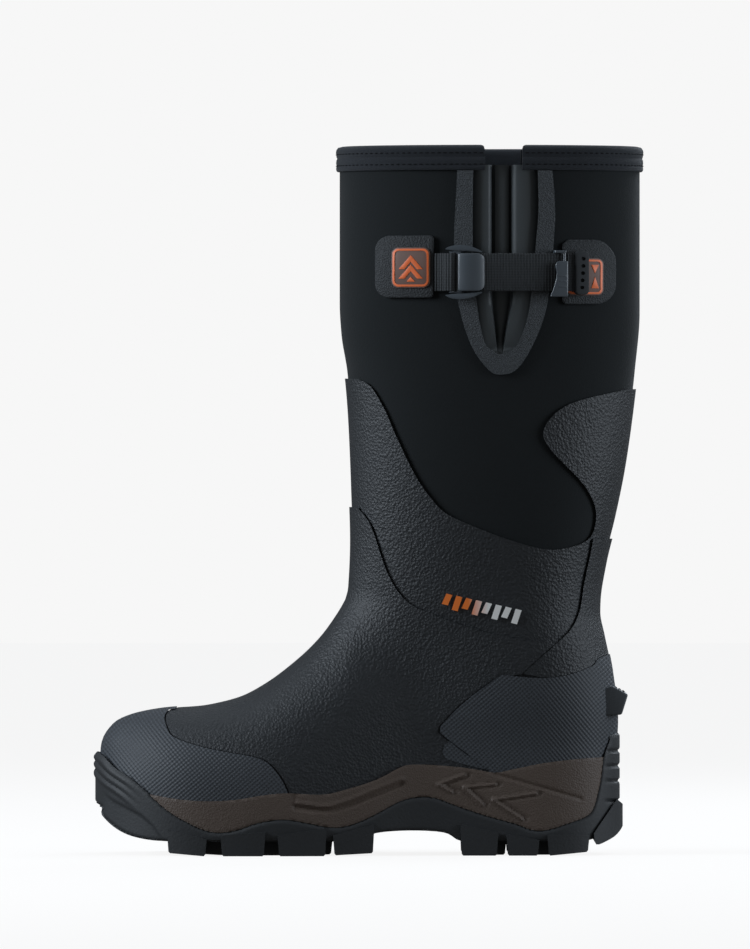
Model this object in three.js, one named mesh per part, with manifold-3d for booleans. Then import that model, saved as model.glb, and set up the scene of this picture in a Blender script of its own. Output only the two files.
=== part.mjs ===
// An insulated knee-high hunting boot for the left foot: a neoprene leg in a rubber foot,
// with a side gusset and a webbing strap across it.
// Millimetres, +Z up, toe towards -X, outer side of the leg towards -Y.

import * as THREE from 'three';
import { mergeVertices } from 'three/addons/utils/BufferGeometryUtils.js';
import Module from 'manifold-3d';

const wasm = await Module();
wasm.setup();

// ---- driving dimensions ----------------------------------------------------------------

const BOOT_HEIGHT = 424; // floor to collar
const FOOT_LENGTH = 301; // last, toe to heel
const BALL_WIDTH = 99; // last, across the ball of the foot
const HEEL_WIDTH = 67; // last, across the heel
const ANKLE_WIDTH = 88;
const CALF_WIDTH = 114;
const CALF_DEPTH = 180;
const LAST_BOTTOM = 24; // underside of the last above the floor

const GAP = 0.3; // clearance between touching pieces
const NEOPRENE = 5; // thicknesses
const FLEECE = 1.8;
const SHELL_RUBBER = 1.6;
const OVERLAY_RUBBER = 1.2;
const FOXING_WALL = 2.6;
const OUTSOLE_WALL = 3.1;
const TAPE = 1.8;
const BINDING = 1.2;
const PATCH = 2.0;
const BADGE = 1.0;
const WEBBING = 1.2;
const BELLOWS = 1.4;

const LUG_HEIGHT = 8;
const CORE_INSET = 9; // midsole core inside the last's outline
const COLLAR_HEIGHT = 15;
const WEBBING_WIDTH = 22.5;
const STRAP_DROP = 76; // collar to the middle of the strap
const STRAP_HEIGHT = BOOT_HEIGHT - STRAP_DROP;
const NOTCH_FRONT = 69.6; // opening of the binding above the gusset
const NOTCH_REAR = 91.8;

const AROUND = 24; // facets round the leg

// Layer surfaces, as distances out from the neoprene
const SHELL_IN = GAP;
const SHELL_OUT = SHELL_IN + SHELL_RUBBER;
const OVERLAY_IN = SHELL_OUT + GAP;
const OVERLAY_OUT = OVERLAY_IN + OVERLAY_RUBBER;
const RIM_IN = OVERLAY_OUT + GAP;
const FOXING_OUT = RIM_IN + FOXING_WALL;
const OUTSOLE_OUT = RIM_IN + OUTSOLE_WALL;
const FLEECE_OUT = -NEOPRENE - GAP;
const FLEECE_IN = FLEECE_OUT - FLEECE;
const TAPE_OUT = GAP + TAPE;

// ---- the last: one smooth form that every layer follows ---------------------------------

const DESIGN_LENGTH = 301;
const DESIGN_HEIGHT = 424;
const DESIGN_DEPTH = 180;
const ANKLE_LEVEL = 150;
const TOE_X = -157;

// Stretch the drawn form to the driving sizes
const alongFoot = x => x * FOOT_LENGTH / DESIGN_LENGTH;
const LEG_STRETCH = (BOOT_HEIGHT - ANKLE_LEVEL) / (DESIGN_HEIGHT - ANKLE_LEVEL);
const upLeg = z => (z < ANKLE_LEVEL ? z : ANKLE_LEVEL + (z - ANKLE_LEVEL) * LEG_STRETCH);

// Smooth curve through knots [t, value], monotone between them
function through(knots) {
  const n = knots.length;
  const slope = knots.slice(1).map((k, i) => (k[1] - knots[i][1]) / (k[0] - knots[i][0]));
  const tangent = knots.map((_, i) => {
    if (i === 0) return slope[0];
    if (i === n - 1) return slope[n - 2];
    const [a, b] = [slope[i - 1], slope[i]];
    return a * b <= 0 ? 0 : 2 * a * b / (a + b);
  });
  return t => {
    if (t <= knots[0][0]) return knots[0][1];
    if (t >= knots[n - 1][0]) return knots[n - 1][1];
    let i = 0;
    while (t > knots[i + 1][0]) i += 1;
    const h = knots[i + 1][0] - knots[i][0];
    const u = (t - knots[i][0]) / h;
    const [p, q] = [knots[i][1], knots[i + 1][1]];
    return (2 * u ** 3 - 3 * u ** 2 + 1) * p + (u ** 3 - 2 * u ** 2 + u) * h * tangent[i]
      + (3 * u ** 2 - 2 * u ** 3) * q + (u ** 3 - u ** 2) * h * tangent[i + 1];
  };
}

const instepHeight = through([[-157, 55], [-156.3, 65], [-153.7, 71], [-147.7, 77], [-135, 81.4],
  [-119.7, 83.9], [-100, 85.4], [-88, 87.6], [-75, 91.3], [-60, 99.2], [-40.9, 113.5],
  [-26.4, 127.6], [-15.1, 143.2], [-10.6, 151]]);
const shin = through([[151, -10.6], [159, -8.6], [188, -7.4], [217, -8.2], [260, -10],
  [289, -12.4], [312, -16], [330, -17], [424, -17]]);
const backOfHeel = through([[24, 144], [60, 144.8], [80, 146], [109, 143], [130, 138.8],
  [145, 136], [152, 136.2], [174, 139.6], [203, 146.6], [231, 152.3], [260, 156.6],
  [289, 160], [325, 163], [424, 163]]);
const legWidth = through([[24, HEEL_WIDTH], [60, HEEL_WIDTH + 2], [100, 0.4 * HEEL_WIDTH + 0.6 * ANKLE_WIDTH],
  [150, ANKLE_WIDTH], [200, 0.5 * ANKLE_WIDTH + 0.5 * CALF_WIDTH], [260, 0.15 * ANKLE_WIDTH + 0.85 * CALF_WIDTH],
  [320, CALF_WIDTH], [424, CALF_WIDTH]]);
const footWidth = through([[-157, 0.9 * BALL_WIDTH], [-90, BALL_WIDTH], [-45, 0.95 * BALL_WIDTH],
  [0, 0.45 * BALL_WIDTH + 0.55 * HEEL_WIDTH], [40, HEEL_WIDTH + 3], [100, HEEL_WIDTH]]);
const toeSwing = through([[-157, 9], [-110, 4], [-50, 0], [150, 0]]);

const smooth = (from, to, t) => THREE.MathUtils.smoothstep(t, from, to);
const CALF_CENTRE = 73;

// The calf deepens towards the collar
const calfShare = z => THREE.MathUtils.lerp(1, CALF_DEPTH / DESIGN_DEPTH, smooth(200, 320, z));

function shinLine(z) {
  if (z >= ANKLE_LEVEL + 1) {
    return CALF_CENTRE + (shin(z) - CALF_CENTRE) * calfShare(z);
  }
  let low = TOE_X;
  let high = -10.6;
  for (let i = 0; i < 30; i += 1) {
    const middle = (low + high) / 2;
    if (instepHeight(middle) > z) high = middle; else low = middle;
  }
  return (low + high) / 2;
}

const heelLine = z => CALF_CENTRE + (backOfHeel(z) - CALF_CENTRE) * calfShare(z);

const rounded = (t, power) => Math.max(0, 1 - Math.abs(t) ** power) ** (1 / power);

// Half of the last's width at a place along the foot and a height
function halfWidth(x, z, front, rear) {
  const centre = THREE.MathUtils.lerp(98, CALF_CENTRE, smooth(60, 300, z));
  const reach = x > centre ? rear - centre : centre - front;
  const leg = 0.5 * legWidth(z) * rounded((x - centre) / reach, 2.15);
  const springing = 36;
  const rise = Math.min(1, Math.max(0, (z - springing) / (instepHeight(x) - springing)));
  const toe = rounded(Math.max(0, (-95 - x) / (-95 - TOE_X)), 2.3);
  const foot = 0.5 * footWidth(x) * toe * rounded(rise, 2.4);
  const legShare = 1 - (1 - smooth(0, 95, x)) * (1 - smooth(85, 158, z));
  return THREE.MathUtils.lerp(foot, leg, legShare);
}

// A point of the last: angle 0 is the front, and half a turn is the heel, on the -Y side first
function lastPoint(angle, z) {
  const front = shinLine(z);
  const rear = heelLine(z);
  const x = (front + rear) / 2 - (rear - front) / 2 * Math.cos(angle);
  const swing = toeSwing(x) * (1 - smooth(85, 158, z));
  const y = swing - Math.sign(Math.sin(angle)) * halfWidth(x, z, front, rear);
  return new THREE.Vector3(alongFoot(x), y, upLeg(z));
}

function lastNormal(angle, z) {
  const step = 0.05;
  const a = lastPoint(angle + step, z).sub(lastPoint(angle - step, z));
  const b = lastPoint(angle, Math.min(423.9, z + 1)).sub(lastPoint(angle, z - 1));
  return a.cross(b).normalize();
}

// Levels at which the last is sliced, closer together over the forefoot
const LEVELS = [24, 40, 56, 65, 72, 78, 84, 91, 101, 117, 136, 154, 180, 214, 250, 286, 322, 424];

function body(geometry) {
  geometry.deleteAttribute('normal');
  geometry.deleteAttribute('uv');
  const merged = mergeVertices(geometry, 1e-4);
  return new wasm.Manifold(new wasm.Mesh({
    numProp: 3,
    vertProperties: new Float32Array(merged.attributes.position.array),
    triVerts: new Uint32Array(merged.index.array),
  }));
}

// The last grown outwards (or inwards), closed by flat ends
function last(grow, bottom = LAST_BOTTOM - grow) {
  const positions = [];
  const rows = LEVELS.map((level, row) => Array.from({ length: AROUND }, (_, i) => {
    const angle = (i + 0.5) * 2 * Math.PI / AROUND;
    const point = lastPoint(angle, level);
    const normal = lastNormal(angle, level);
    if (row === 0 || row === LEVELS.length - 1) normal.setZ(0).normalize();
    point.addScaledVector(normal, grow);
    if (row === 0) point.z = bottom;
    if (row === LEVELS.length - 1) point.z = BOOT_HEIGHT;
    return point;
  }));
  const centres = [rows[0], rows[rows.length - 1]].map(ring => ring
    .reduce((sum, p) => sum.add(p), new THREE.Vector3()).divideScalar(AROUND));
  const face = (...points) => points.forEach(p => positions.push(p.x, p.y, p.z));
  for (let i = 0; i < AROUND; i += 1) {
    const j = (i + 1) % AROUND;
    for (let row = 0; row + 1 < rows.length; row += 1) {
      face(rows[row][i], rows[row][j], rows[row + 1][j]);
      face(rows[row][i], rows[row + 1][j], rows[row + 1][i]);
    }
    face(centres[0], rows[0][j], rows[0][i]);
    face(centres[1], rows[rows.length - 1][i], rows[rows.length - 1][j]);
  }
  const geometry = new THREE.BufferGeometry();
  geometry.setAttribute('position', new THREE.Float32BufferAttribute(positions, 3));
  return body(geometry);
}

const layer = (inner, outer) => last(outer).subtract(last(inner));
const overlay = () => layer(OVERLAY_IN, OVERLAY_OUT);

// ---- outlines seen from the side --------------------------------------------------------

const WIDE = 200; // past the boot on every side

// A side-view outline, drawn [x, z], carried straight across the boot from y0 to y1
function across(outline, y0 = -WIDE, y1 = WIDE) {
  const shape = new THREE.Shape(outline.map(([x, z]) => new THREE.Vector2(alongFoot(x), upLeg(z))));
  const geometry = new THREE.ExtrudeGeometry(shape, { depth: y1 - y0, bevelEnabled: false, steps: 1 });
  geometry.rotateX(Math.PI / 2);
  geometry.translate(0, y1, 0);
  return body(geometry);
}

const outerSide = outline => across(outline, -WIDE, 0);

function box(x0, x1, y0, y1, z0, z1) {
  const geometry = new THREE.BoxGeometry(x1 - x0, y1 - y0, z1 - z0);
  geometry.translate((x0 + x1) / 2, (y0 + y1) / 2, (z0 + z1) / 2);
  return body(geometry);
}

const shifted = (line, dx, dz) => line.map(([x, z]) => [x + dx, z + dz]);
const reversed = line => [...line].reverse();
const united = bodies => bodies.reduce((a, b) => a.add(b));

// Upper edge of the rubber shell, front to rear
const shellEdge = [[-60, 286], [-13, 285], [2, 279], [10, 266], [26, 231], [34, 218], [46, 205],
  [62, 197], [82, 189], [102, 183.5], [112, 182.7], [124, 185], [134, 190], [136, 198], [136, 206],
  [132, 216], [116, 235], [107, 245], [104.4, 252], [108, 260], [116, 267], [126, 271.5],
  [144, 276], [160, 278.7], [200, 280]];

// Upper edge of the second rubber layer over the instep and ankle
const overlayEdge = [[-60, 208], [-11, 208], [-5, 206], [1, 198], [6, 184.5], [11, 169], [18, 157.5],
  [27, 149], [44, 142], [65, 134.7], [83, 130.5], [101, 128.1], [113, 128.1]];

// Front edge of the strip up the back of the ankle, top to bottom
const stripEdge = [[134.5, 187], [132.6, 179], [129, 162], [126.6, 147], [121.8, 136], [114, 128],
  [102.6, 118], [92.4, 108.6]];

const counterTop = [[200, 126], [144.6, 119.7], [134, 113], [119, 107.7], [104, 106], [80, 107.7],
  [75.6, 105.3], [59, 92.7], [44.4, 78.3], [42.6, 74.7], [45, 71.7], [63, 58], [72, 51.5]];

// Rear edge of the toe cap, top to bottom
const toeCapEdge = [[-114.6, 110], [-114.6, 87.3], [-119, 86.7], [-121.8, 83], [-120.6, 77],
  [-116.4, 71], [-102, 65.7], [-84.6, 62], [-68, 59], [-60, 55.5], [-53, 47.7], [-48, 38],
  [-47, 28]];

const foxingTop = [[-130.2, 36.6], [-115, 34], [-99.6, 32.7], [-81, 33.3], [-62, 36.3], [-48, 37.5],
  [-28, 36.5], [-14, 39.3], [5, 45.3], [20, 53], [29, 54.3], [44, 53.7], [61, 52], [75.6, 49.5],
  [86, 51.3], [104, 55], [125, 57.5], [141, 58.5]];
const foxingBottom = [[-130.2, 36], [-120, 27.3], [-109, 20.7], [-97, 15.3], [-87, 14.1], [-77, 15.9],
  [-65, 20], [-50, 21.9], [-35, 19.5], [-22, 17.1], [-11, 18.3], [2.4, 23.7], [18, 32], [29, 35],
  [40, 34.5], [55, 29], [71, 23.7], [88, 19], [98, 15.3], [107, 15.3], [119, 19], [130, 23], [135, 28.5],
  [139, 43.5], [141, 58]];

const toeBumperTop = [[-200, 61.5], [-160, 61], [-152, 52.5], [-142, 46], [-130.2, 36.3]];
const riserFront = [[141, 58], [144.6, 67.5], [150, 72.5], [200, 74]];

// ---- foot: sole unit ---------------------------------------------------------------------

// The last's outline at the feather line, grown, as an upright block
function soleBlock(grow, z0, z1) {
  const shape = new THREE.Shape(Array.from({ length: 2 * AROUND }, (_, i) => {
    const angle = (i + 0.5) * Math.PI / AROUND;
    const point = lastPoint(angle, 36);
    point.addScaledVector(lastNormal(angle, 36).setZ(0).normalize(), grow);
    return new THREE.Vector2(point.x, point.y);
  }));
  const geometry = new THREE.ExtrudeGeometry(shape, { depth: z1 - z0, bevelEnabled: false });
  geometry.translate(0, 0, z0);
  return body(geometry);
}

const CORE_TOP = LAST_BOTTOM - SHELL_OUT - GAP;
const CORE_FLOOR = 12.5;
const ARCH_FLOOR = 18;
const coreOutline = gap => [[-128 - gap, CORE_FLOOR - gap], [-4 + gap, CORE_FLOOR - gap],
  [6 + gap, ARCH_FLOOR - gap], [45 - gap, ARCH_FLOOR - gap], [55 - gap, CORE_FLOOR - gap],
  [127 + gap, CORE_FLOOR - gap], [127 + gap, 23], [-128 - gap, 23]];
const corePocket = soleBlock(-CORE_INSET + GAP, 0, 40).intersect(across(coreOutline(GAP)));

// Underside of the sole: toe spring, forefoot, arch, heel
const soleUnderside = [[-200, 24], [-159.6, 23], [-148, 13.5], [-136, LUG_HEIGHT], [-4, LUG_HEIGHT],
  [3, 14.6], [47, 14.6], [54, LUG_HEIGHT], [136, LUG_HEIGHT + 1], [152, 19], [200, 20]];

function outsole() {
  const outline = [...soleUnderside, ...reversed(riserFront), ...shifted(reversed(foxingBottom), 0, -GAP),
    ...reversed(toeBumperTop)];
  const trunk = soleBlock(OUTSOLE_OUT, 0, 90).intersect(across(outline));
  const tread = united(lugs());
  return trunk.add(tread).subtract(last(RIM_IN)).subtract(corePocket).subtract(foxingBand(GAP));
}

// Thin band that carries the foxing round the toe and the heel, behind the outsole's wall
const BAND = 1;
const foxingBand = gap => soleBlock(RIM_IN + BAND + gap, 24 - gap, 32 + gap);

// Lugs in pairs along both edges, with a block in the middle of each gap
function lugs() {
  const overlap = 1.5;
  const forefoot = [[-118, -96, 4.5, 0], [-86, -63, 0, 0], [-53, -30, 0, 0], [-20.4, -3, 1.5, 3.5]];
  const heel = [[56, 75.6, 0.6, 0], [83.4, 100.8, 0, 0], [108, 130, 0, 2.4], [135.6, 150.5, 4.5, 12]];
  const inset = 11;
  const edge = soleBlock(OUTSOLE_OUT - 1, 0, 40).subtract(soleBlock(OUTSOLE_OUT - inset - 1, -1, 41));
  const middle = soleBlock(OUTSOLE_OUT - inset - 6, 0, 40);
  const top = LUG_HEIGHT + overlap;
  const wedge = ([x0, x1, z0, z1]) => across([[x0, z0], [x1, z1], [x1 + 1.5, top + z1 / 2],
    [x0 - 1.5, top + z0 / 2]]);
  const outer = [...forefoot, ...heel].map(lug => edge.intersect(wedge(lug)));
  const centreBlocks = [[-104, -84, 1, 0], [-70, -52, 0, 0], [-40, -22, 0, 0.5], [66, 82, 0, 0],
    [96, 112, 0, 0]];
  const inner = centreBlocks.map(lug => middle.intersect(wedge(lug)));
  return [...outer, ...inner];
}

const foxing = () => soleBlock(FOXING_OUT, 0, 70)
  .intersect(across([...foxingBottom, ...reversed(foxingTop)]))
  .add(foxingBand(0))
  .subtract(last(RIM_IN)).subtract(corePocket);

const SHANK_THICKNESS = 1.6;
const SHANK_WIDTH = 16;
const shankOutline = gap => [[-38 - gap, CORE_TOP - SHANK_THICKNESS - GAP - gap],
  [88 + gap, CORE_TOP - SHANK_THICKNESS - GAP - gap], [88 + gap, CORE_TOP + gap], [-38 - gap, CORE_TOP + gap]];
const midsoleCore = () => soleBlock(-CORE_INSET, 0, CORE_TOP - GAP).intersect(across(coreOutline(0)))
  .subtract(across(shankOutline(GAP), -SHANK_WIDTH / 2 - GAP, SHANK_WIDTH / 2 + GAP));
const shank = () => across([[-38, CORE_TOP - SHANK_THICKNESS - GAP], [88, CORE_TOP - SHANK_THICKNESS - GAP],
  [88, CORE_TOP - GAP], [-38, CORE_TOP - GAP]], -SHANK_WIDTH / 2, SHANK_WIDTH / 2);

const BOARD = 1.8;
const FOOTBED = 4;
const INNER_FLOOR = LAST_BOTTOM - FLEECE_IN;
const insoleBoard = () => last(FLEECE_IN - GAP, INNER_FLOOR + GAP)
  .intersect(box(-WIDE, WIDE, -WIDE, WIDE, 0, INNER_FLOOR + GAP + BOARD));
const footbed = () => last(FLEECE_IN - GAP, INNER_FLOOR)
  .intersect(box(-WIDE, WIDE, -WIDE, WIDE, INNER_FLOOR + BOARD + 2 * GAP, INNER_FLOOR + BOARD + FOOTBED));

// ---- foot: rubber upper -------------------------------------------------------------------

const LOW = 27; // lower edge of the overlays, behind the foxing
const vampShell = () => layer(SHELL_IN, SHELL_OUT)
  .intersect(across([...shellEdge, [200, 0], [-200, 0], [-200, 286]]));

const vampOverlay = () => overlay().intersect(across([
  ...overlayEdge, ...shifted(stripEdge.slice(5), -2 * GAP, 0), ...shifted(counterTop.slice(5), -GAP, 0),
  [72, LOW], ...shifted(reversed(toeCapEdge), GAP, 0), [-114.3, 208]]));

const toeCap = () => overlay().intersect(across([...toeCapEdge, [-200, 28], [-200, 110]]));

const rearStrip = () => overlay().intersect(across([...shifted(stripEdge, GAP, 0),
  ...shifted(reversed(counterTop.slice(0, 5)), 0, GAP), [200, 187]]));

const heelCounter = () => overlay().intersect(across([...counterTop, [74, LOW], [200, LOW]]));

// Kick-off ledge, standing on the heel counter
const LEDGE_WIDTH = 46;
const kickSpur = () => across([[138, 98], [147.6, 101], [155.5, 96.6], [151.5, 85], [145, 83], [138, 84]],
  -LEDGE_WIDTH / 2, LEDGE_WIDTH / 2).subtract(last(OVERLAY_OUT + GAP));

// Stiff shells between neoprene and fleece
const PUFF = 1.2;
const puffZone = gap => [[-200, 22 - gap], [-112 + gap, 22 - gap], [-126 + gap, 110], [-200, 110]];
const cupZone = gap => [[88 - gap, 34 - gap], [200, 34 - gap], [200, 96 + gap], [104 - gap, 96 + gap]];
const stiffener = zone => layer(-NEOPRENE, -NEOPRENE + PUFF).intersect(across(zone(0)));
const stiffenerPocket = zone => last(-NEOPRENE + PUFF + GAP).intersect(across(zone(GAP)));

// ---- leg ----------------------------------------------------------------------------------

// U-shaped opening in the outer side of the leg
const gussetOpening = inset => {
  const side = [[63, 430], [62.6, 362], [64.4, 322], [70, 306], [77.4, 296]];
  const back = [[84, 296], [92, 306], [97.5, 322], [100.6, 345], [102, 386], [100.5, 430]];
  return [...shifted(side, inset, inset), ...shifted(back, -inset, inset)];
};
const tapeOutline = [[54, 430], [53.4, 362], [56.4, 320], [64.2, 299], [71, 290.5], [77.4, 287.2],
  [84.6, 290.5], [91.2, 299], [100.2, 320], [106.2, 344], [108.6, 362], [109.8, 386], [106.2, 430]];

const bootieShaft = () => layer(-NEOPRENE, 0)
  .intersect(box(-WIDE, WIDE, -WIDE, WIDE, 0, BOOT_HEIGHT - BINDING - GAP))
  .subtract(outerSide(gussetOpening(0)))
  .subtract(stiffenerPocket(puffZone)).subtract(stiffenerPocket(cupZone));

const fleeceLining = () => layer(FLEECE_IN, FLEECE_OUT)
  .intersect(box(-WIDE, WIDE, -WIDE, WIDE, 0, BOOT_HEIGHT - BINDING - GAP))
  .subtract(outerSide(gussetOpening(0)));

const bindingBottom = BOOT_HEIGHT - COLLAR_HEIGHT;
const EDGE_SET_BACK = 0.1; // tape behind the cut edge of the neoprene
const gussetTape = () => layer(GAP, TAPE_OUT).intersect(outerSide(tapeOutline))
  .subtract(outerSide(gussetOpening(-EDGE_SET_BACK)))
  .intersect(box(-WIDE, WIDE, -WIDE, WIDE, 0, bindingBottom - GAP));

// Binding folded over the top edge of the leg, open above the gusset
const collarBinding = () => layer(FLEECE_IN - GAP - BINDING, GAP + BINDING)
  .subtract(layer(FLEECE_IN - GAP, GAP).intersect(box(-WIDE, WIDE, -WIDE, WIDE, 0, BOOT_HEIGHT - BINDING)))
  .intersect(box(-WIDE, WIDE, -WIDE, WIDE, bindingBottom, BOOT_HEIGHT + 1))
  .subtract(box(alongFoot(NOTCH_FRONT), alongFoot(NOTCH_REAR), -WIDE, 0, 0, BOOT_HEIGHT + 2));

// ---- strap: pieces wrapped on the outer side of the leg ------------------------------------

// Section of the leg behind the strap
const SECTION = ANKLE_LEVEL + (STRAP_HEIGHT - ANKLE_LEVEL) / LEG_STRETCH;
const front = shinLine(SECTION);
const rear = heelLine(SECTION);

function onLeg(x, out) {
  const at = s => new THREE.Vector2(alongFoot(s), -halfWidth(s, SECTION, front, rear));
  const along = at(x + 0.5).sub(at(x - 0.5)).normalize();
  return at(x).add(new THREE.Vector2(along.y, -along.x).multiplyScalar(out));
}

// A profile of [x along the leg, distance out] points, bent round the leg and carried up from w0 to w1,
// measured from the middle of the strap
function wrapped(profile, w0, w1) {
  const points = [];
  profile.forEach((p, i) => {
    const q = profile[(i + 1) % profile.length];
    const parts = Math.max(1, Math.ceil(Math.abs(q[0] - p[0]) / 5));
    for (let k = 0; k < parts; k += 1) {
      points.push(onLeg(p[0] + (q[0] - p[0]) * k / parts, p[1] + (q[1] - p[1]) * k / parts));
    }
  });
  if (THREE.ShapeUtils.isClockWise(points)) points.reverse();
  const geometry = new THREE.ExtrudeGeometry(new THREE.Shape(points), { depth: w1 - w0, bevelEnabled: false });
  geometry.translate(0, 0, STRAP_HEIGHT + w0);
  return body(geometry);
}

const slab = (x0, x1, h0, h1, w0, w1) => wrapped([[x0, h0], [x1, h0], [x1, h1], [x0, h1]], w0, w1);

// A side-view outline of [x along the leg, w from the middle of the strap], at a distance out from the leg
function cutter(outline, out) {
  const shape = new THREE.Shape(outline.map(([x, w]) => new THREE.Vector2(onLeg(x, out).x, STRAP_HEIGHT + w)));
  const geometry = new THREE.ExtrudeGeometry(shape, { depth: WIDE, bevelEnabled: false });
  geometry.rotateX(Math.PI / 2);
  return body(geometry);
}

function roundedOutline(x0, x1, w0, w1, frontRadius, rearRadius = frontRadius) {
  const corner = (x, w, r, start) => Array.from({ length: 4 }, (_, i) => {
    const angle = (start + i * 30) * Math.PI / 180;
    return [x + r * Math.cos(angle), w + r * Math.sin(angle)];
  });
  return [...corner(x1 - rearRadius, w1 - rearRadius, rearRadius, 0),
    ...corner(x0 + frontRadius, w1 - frontRadius, frontRadius, 90),
    ...corner(x0 + frontRadius, w0 + frontRadius, frontRadius, 180),
    ...corner(x1 - rearRadius, w0 + rearRadius, rearRadius, 270)];
}

function plate(x0, x1, h0, h1, w0, w1, frontRadius, rearRadius) {
  return slab(x0 - 2, x1 + 2, h0, h1, w0 - 1, w1 + 1)
    .intersect(cutter(roundedOutline(x0, x1, w0, w1, frontRadius, rearRadius), (h0 + h1) / 2));
}

const ring = (x, h, radius, count = 10) => Array.from({ length: count }, (_, i) => {
  const angle = i * 2 * Math.PI / count;
  return [x + radius * Math.cos(angle), h + radius * Math.sin(angle)];
});

const HALF = WEBBING_WIDTH / 2;
const PATCH_OUT = GAP + PATCH;
const WEB_LOW = 4.2; // main webbing above the neoprene
const WEB_HIGH = WEB_LOW + WEBBING;

// Front anchor: a patch over the sewn end of a short webbing, which loops round the plug's bar
const BAR_X = 50.5;
const BAR_OUT = 4.4;
const BAR_RADIUS = 1.2;
const LOOP_IN = BAR_RADIUS + GAP;
const LOOP_OUT = LOOP_IN + WEBBING;
const SEWN_LOW = 0.6;
const PATCH_REAR = 39.6;

const turn = (radius, from, to) => Array.from({ length: 7 }, (_, i) => {
  const angle = (from + (to - from) * i / 6) * Math.PI / 180;
  return [BAR_X + radius * Math.cos(angle), BAR_OUT + radius * Math.sin(angle)];
});
const shortWebbing = () => wrapped([[13, SEWN_LOW], [43, SEWN_LOW], ...turn(LOOP_OUT, -90, 90),
  [44, 3.3], [41.5, 3.3], [41.5, 2.1], [44.4, 2.1], ...turn(LOOP_IN, 90, -90),
  [42.6, SEWN_LOW + WEBBING], [13, SEWN_LOW + WEBBING]], -HALF, HALF);
const frontPatch = () => plate(5.4, PATCH_REAR, GAP, PATCH_OUT + 0.4, -15.2, 22, 11, 2.5)
  .subtract(slab(13 - GAP, PATCH_REAR + 3, GAP - 1, SEWN_LOW + WEBBING + GAP, -HALF - GAP, HALF + GAP));
const frontBadge = () => plate(15.6, 37.8, PATCH_OUT + 0.4 + GAP, PATCH_OUT + 0.4 + GAP + BADGE, -9.2, 14.8, 4);

// Buckle: a plug on the short webbing, two squeeze levers beside it, and a curved socket
const PIVOT_X = 55;
const PIVOT_W = HALF + 2.9;
const PIN = 0.7;
const LEVER_LOW = 3.9;
const LEVER_HIGH = 6.9;
const pivotPin = (radius, h0, h1, side) => {
  const base = onLeg(PIVOT_X, h0);
  const tip = onLeg(PIVOT_X, h1);
  const length = tip.distanceTo(base);
  const geometry = new THREE.CylinderGeometry(radius, radius, length, 10);
  const outward = new THREE.Vector3(tip.x - base.x, tip.y - base.y, 0).normalize();
  geometry.applyQuaternion(new THREE.Quaternion().setFromUnitVectors(new THREE.Vector3(0, 1, 0), outward));
  geometry.translate((base.x + tip.x) / 2, (base.y + tip.y) / 2, STRAP_HEIGHT + side * PIVOT_W);
  return body(geometry);
};
const CHEEK = 0.8;
function bucklePlug() {
  const pieces = [wrapped(ring(BAR_X, BAR_OUT, BAR_RADIUS), -HALF - GAP - CHEEK / 2, HALF + GAP + CHEEK / 2),
    slab(53.4, 56, 2.6, 5.4, -HALF - GAP - CHEEK / 2, HALF + GAP + CHEEK / 2),
    slab(55.5, 61.6, 4.2, 5.3, -6, 6)];
  for (const side of [-1, 1]) {
    const [a, b] = [side * (HALF + GAP), side * (HALF + GAP + CHEEK)].sort((p, q) => p - q);
    const [c, d] = [side * (HALF + GAP), side * (PIVOT_W + 1.4)].sort((p, q) => p - q);
    pieces.push(slab(49, 56, 2.6, 5.4, a, b), slab(53.4, 57, 2.6, LEVER_LOW - GAP, c, d));
    pieces.push(pivotPin(PIN, 2.8, LEVER_HIGH - 0.6, side));
  }
  return united(pieces);
}
const PLATE_HALF = HALF;
const leverOutline = side => [[46.8, 15.0], [47.6, 15.8], [52, 16.4], [57, 16.2], [63, 14.9], [68.3, 12.4],
  [68.2, 11.3], [62, 11.9], [57, 12.0], [53.2, 13.7], [50, 14.6]]
  .map(([x, w]) => [x, side * (w + HALF - 11.25)]);
const lever = side => slab(45, 70, LEVER_LOW, LEVER_HIGH, Math.min(side * 9, side * 18), Math.max(side * 9, side * 18))
  .intersect(cutter(leverOutline(side), LEVER_HIGH))
  .subtract(pivotPin(PIN + GAP, LEVER_LOW - 2, LEVER_HIGH - 0.3, side));

const SOCKET_FRONT = 54.4;
const SOCKET_REAR = 69.7;
function buckleSocket() {
  const outline = [[SOCKET_FRONT, -PLATE_HALF], [62, -PLATE_HALF], [67, -PLATE_HALF + 1], [SOCKET_REAR, -PLATE_HALF + 4.4],
    [SOCKET_REAR, PLATE_HALF - 4.4], [67, PLATE_HALF - 1], [62, PLATE_HALF], [SOCKET_FRONT, PLATE_HALF]];
  const cover = slab(SOCKET_FRONT, SOCKET_REAR, 5.7, 7.3, -PLATE_HALF, PLATE_HALF);
  const floor = slab(57.4, SOCKET_REAR, 2.6, 3.8, -PLATE_HALF, PLATE_HALF);
  const bridge = slab(62, 63.8, 3, 6.5, -PLATE_HALF, PLATE_HALF);
  return united([cover, floor, bridge]).intersect(cutter(outline, 7));
}

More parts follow.
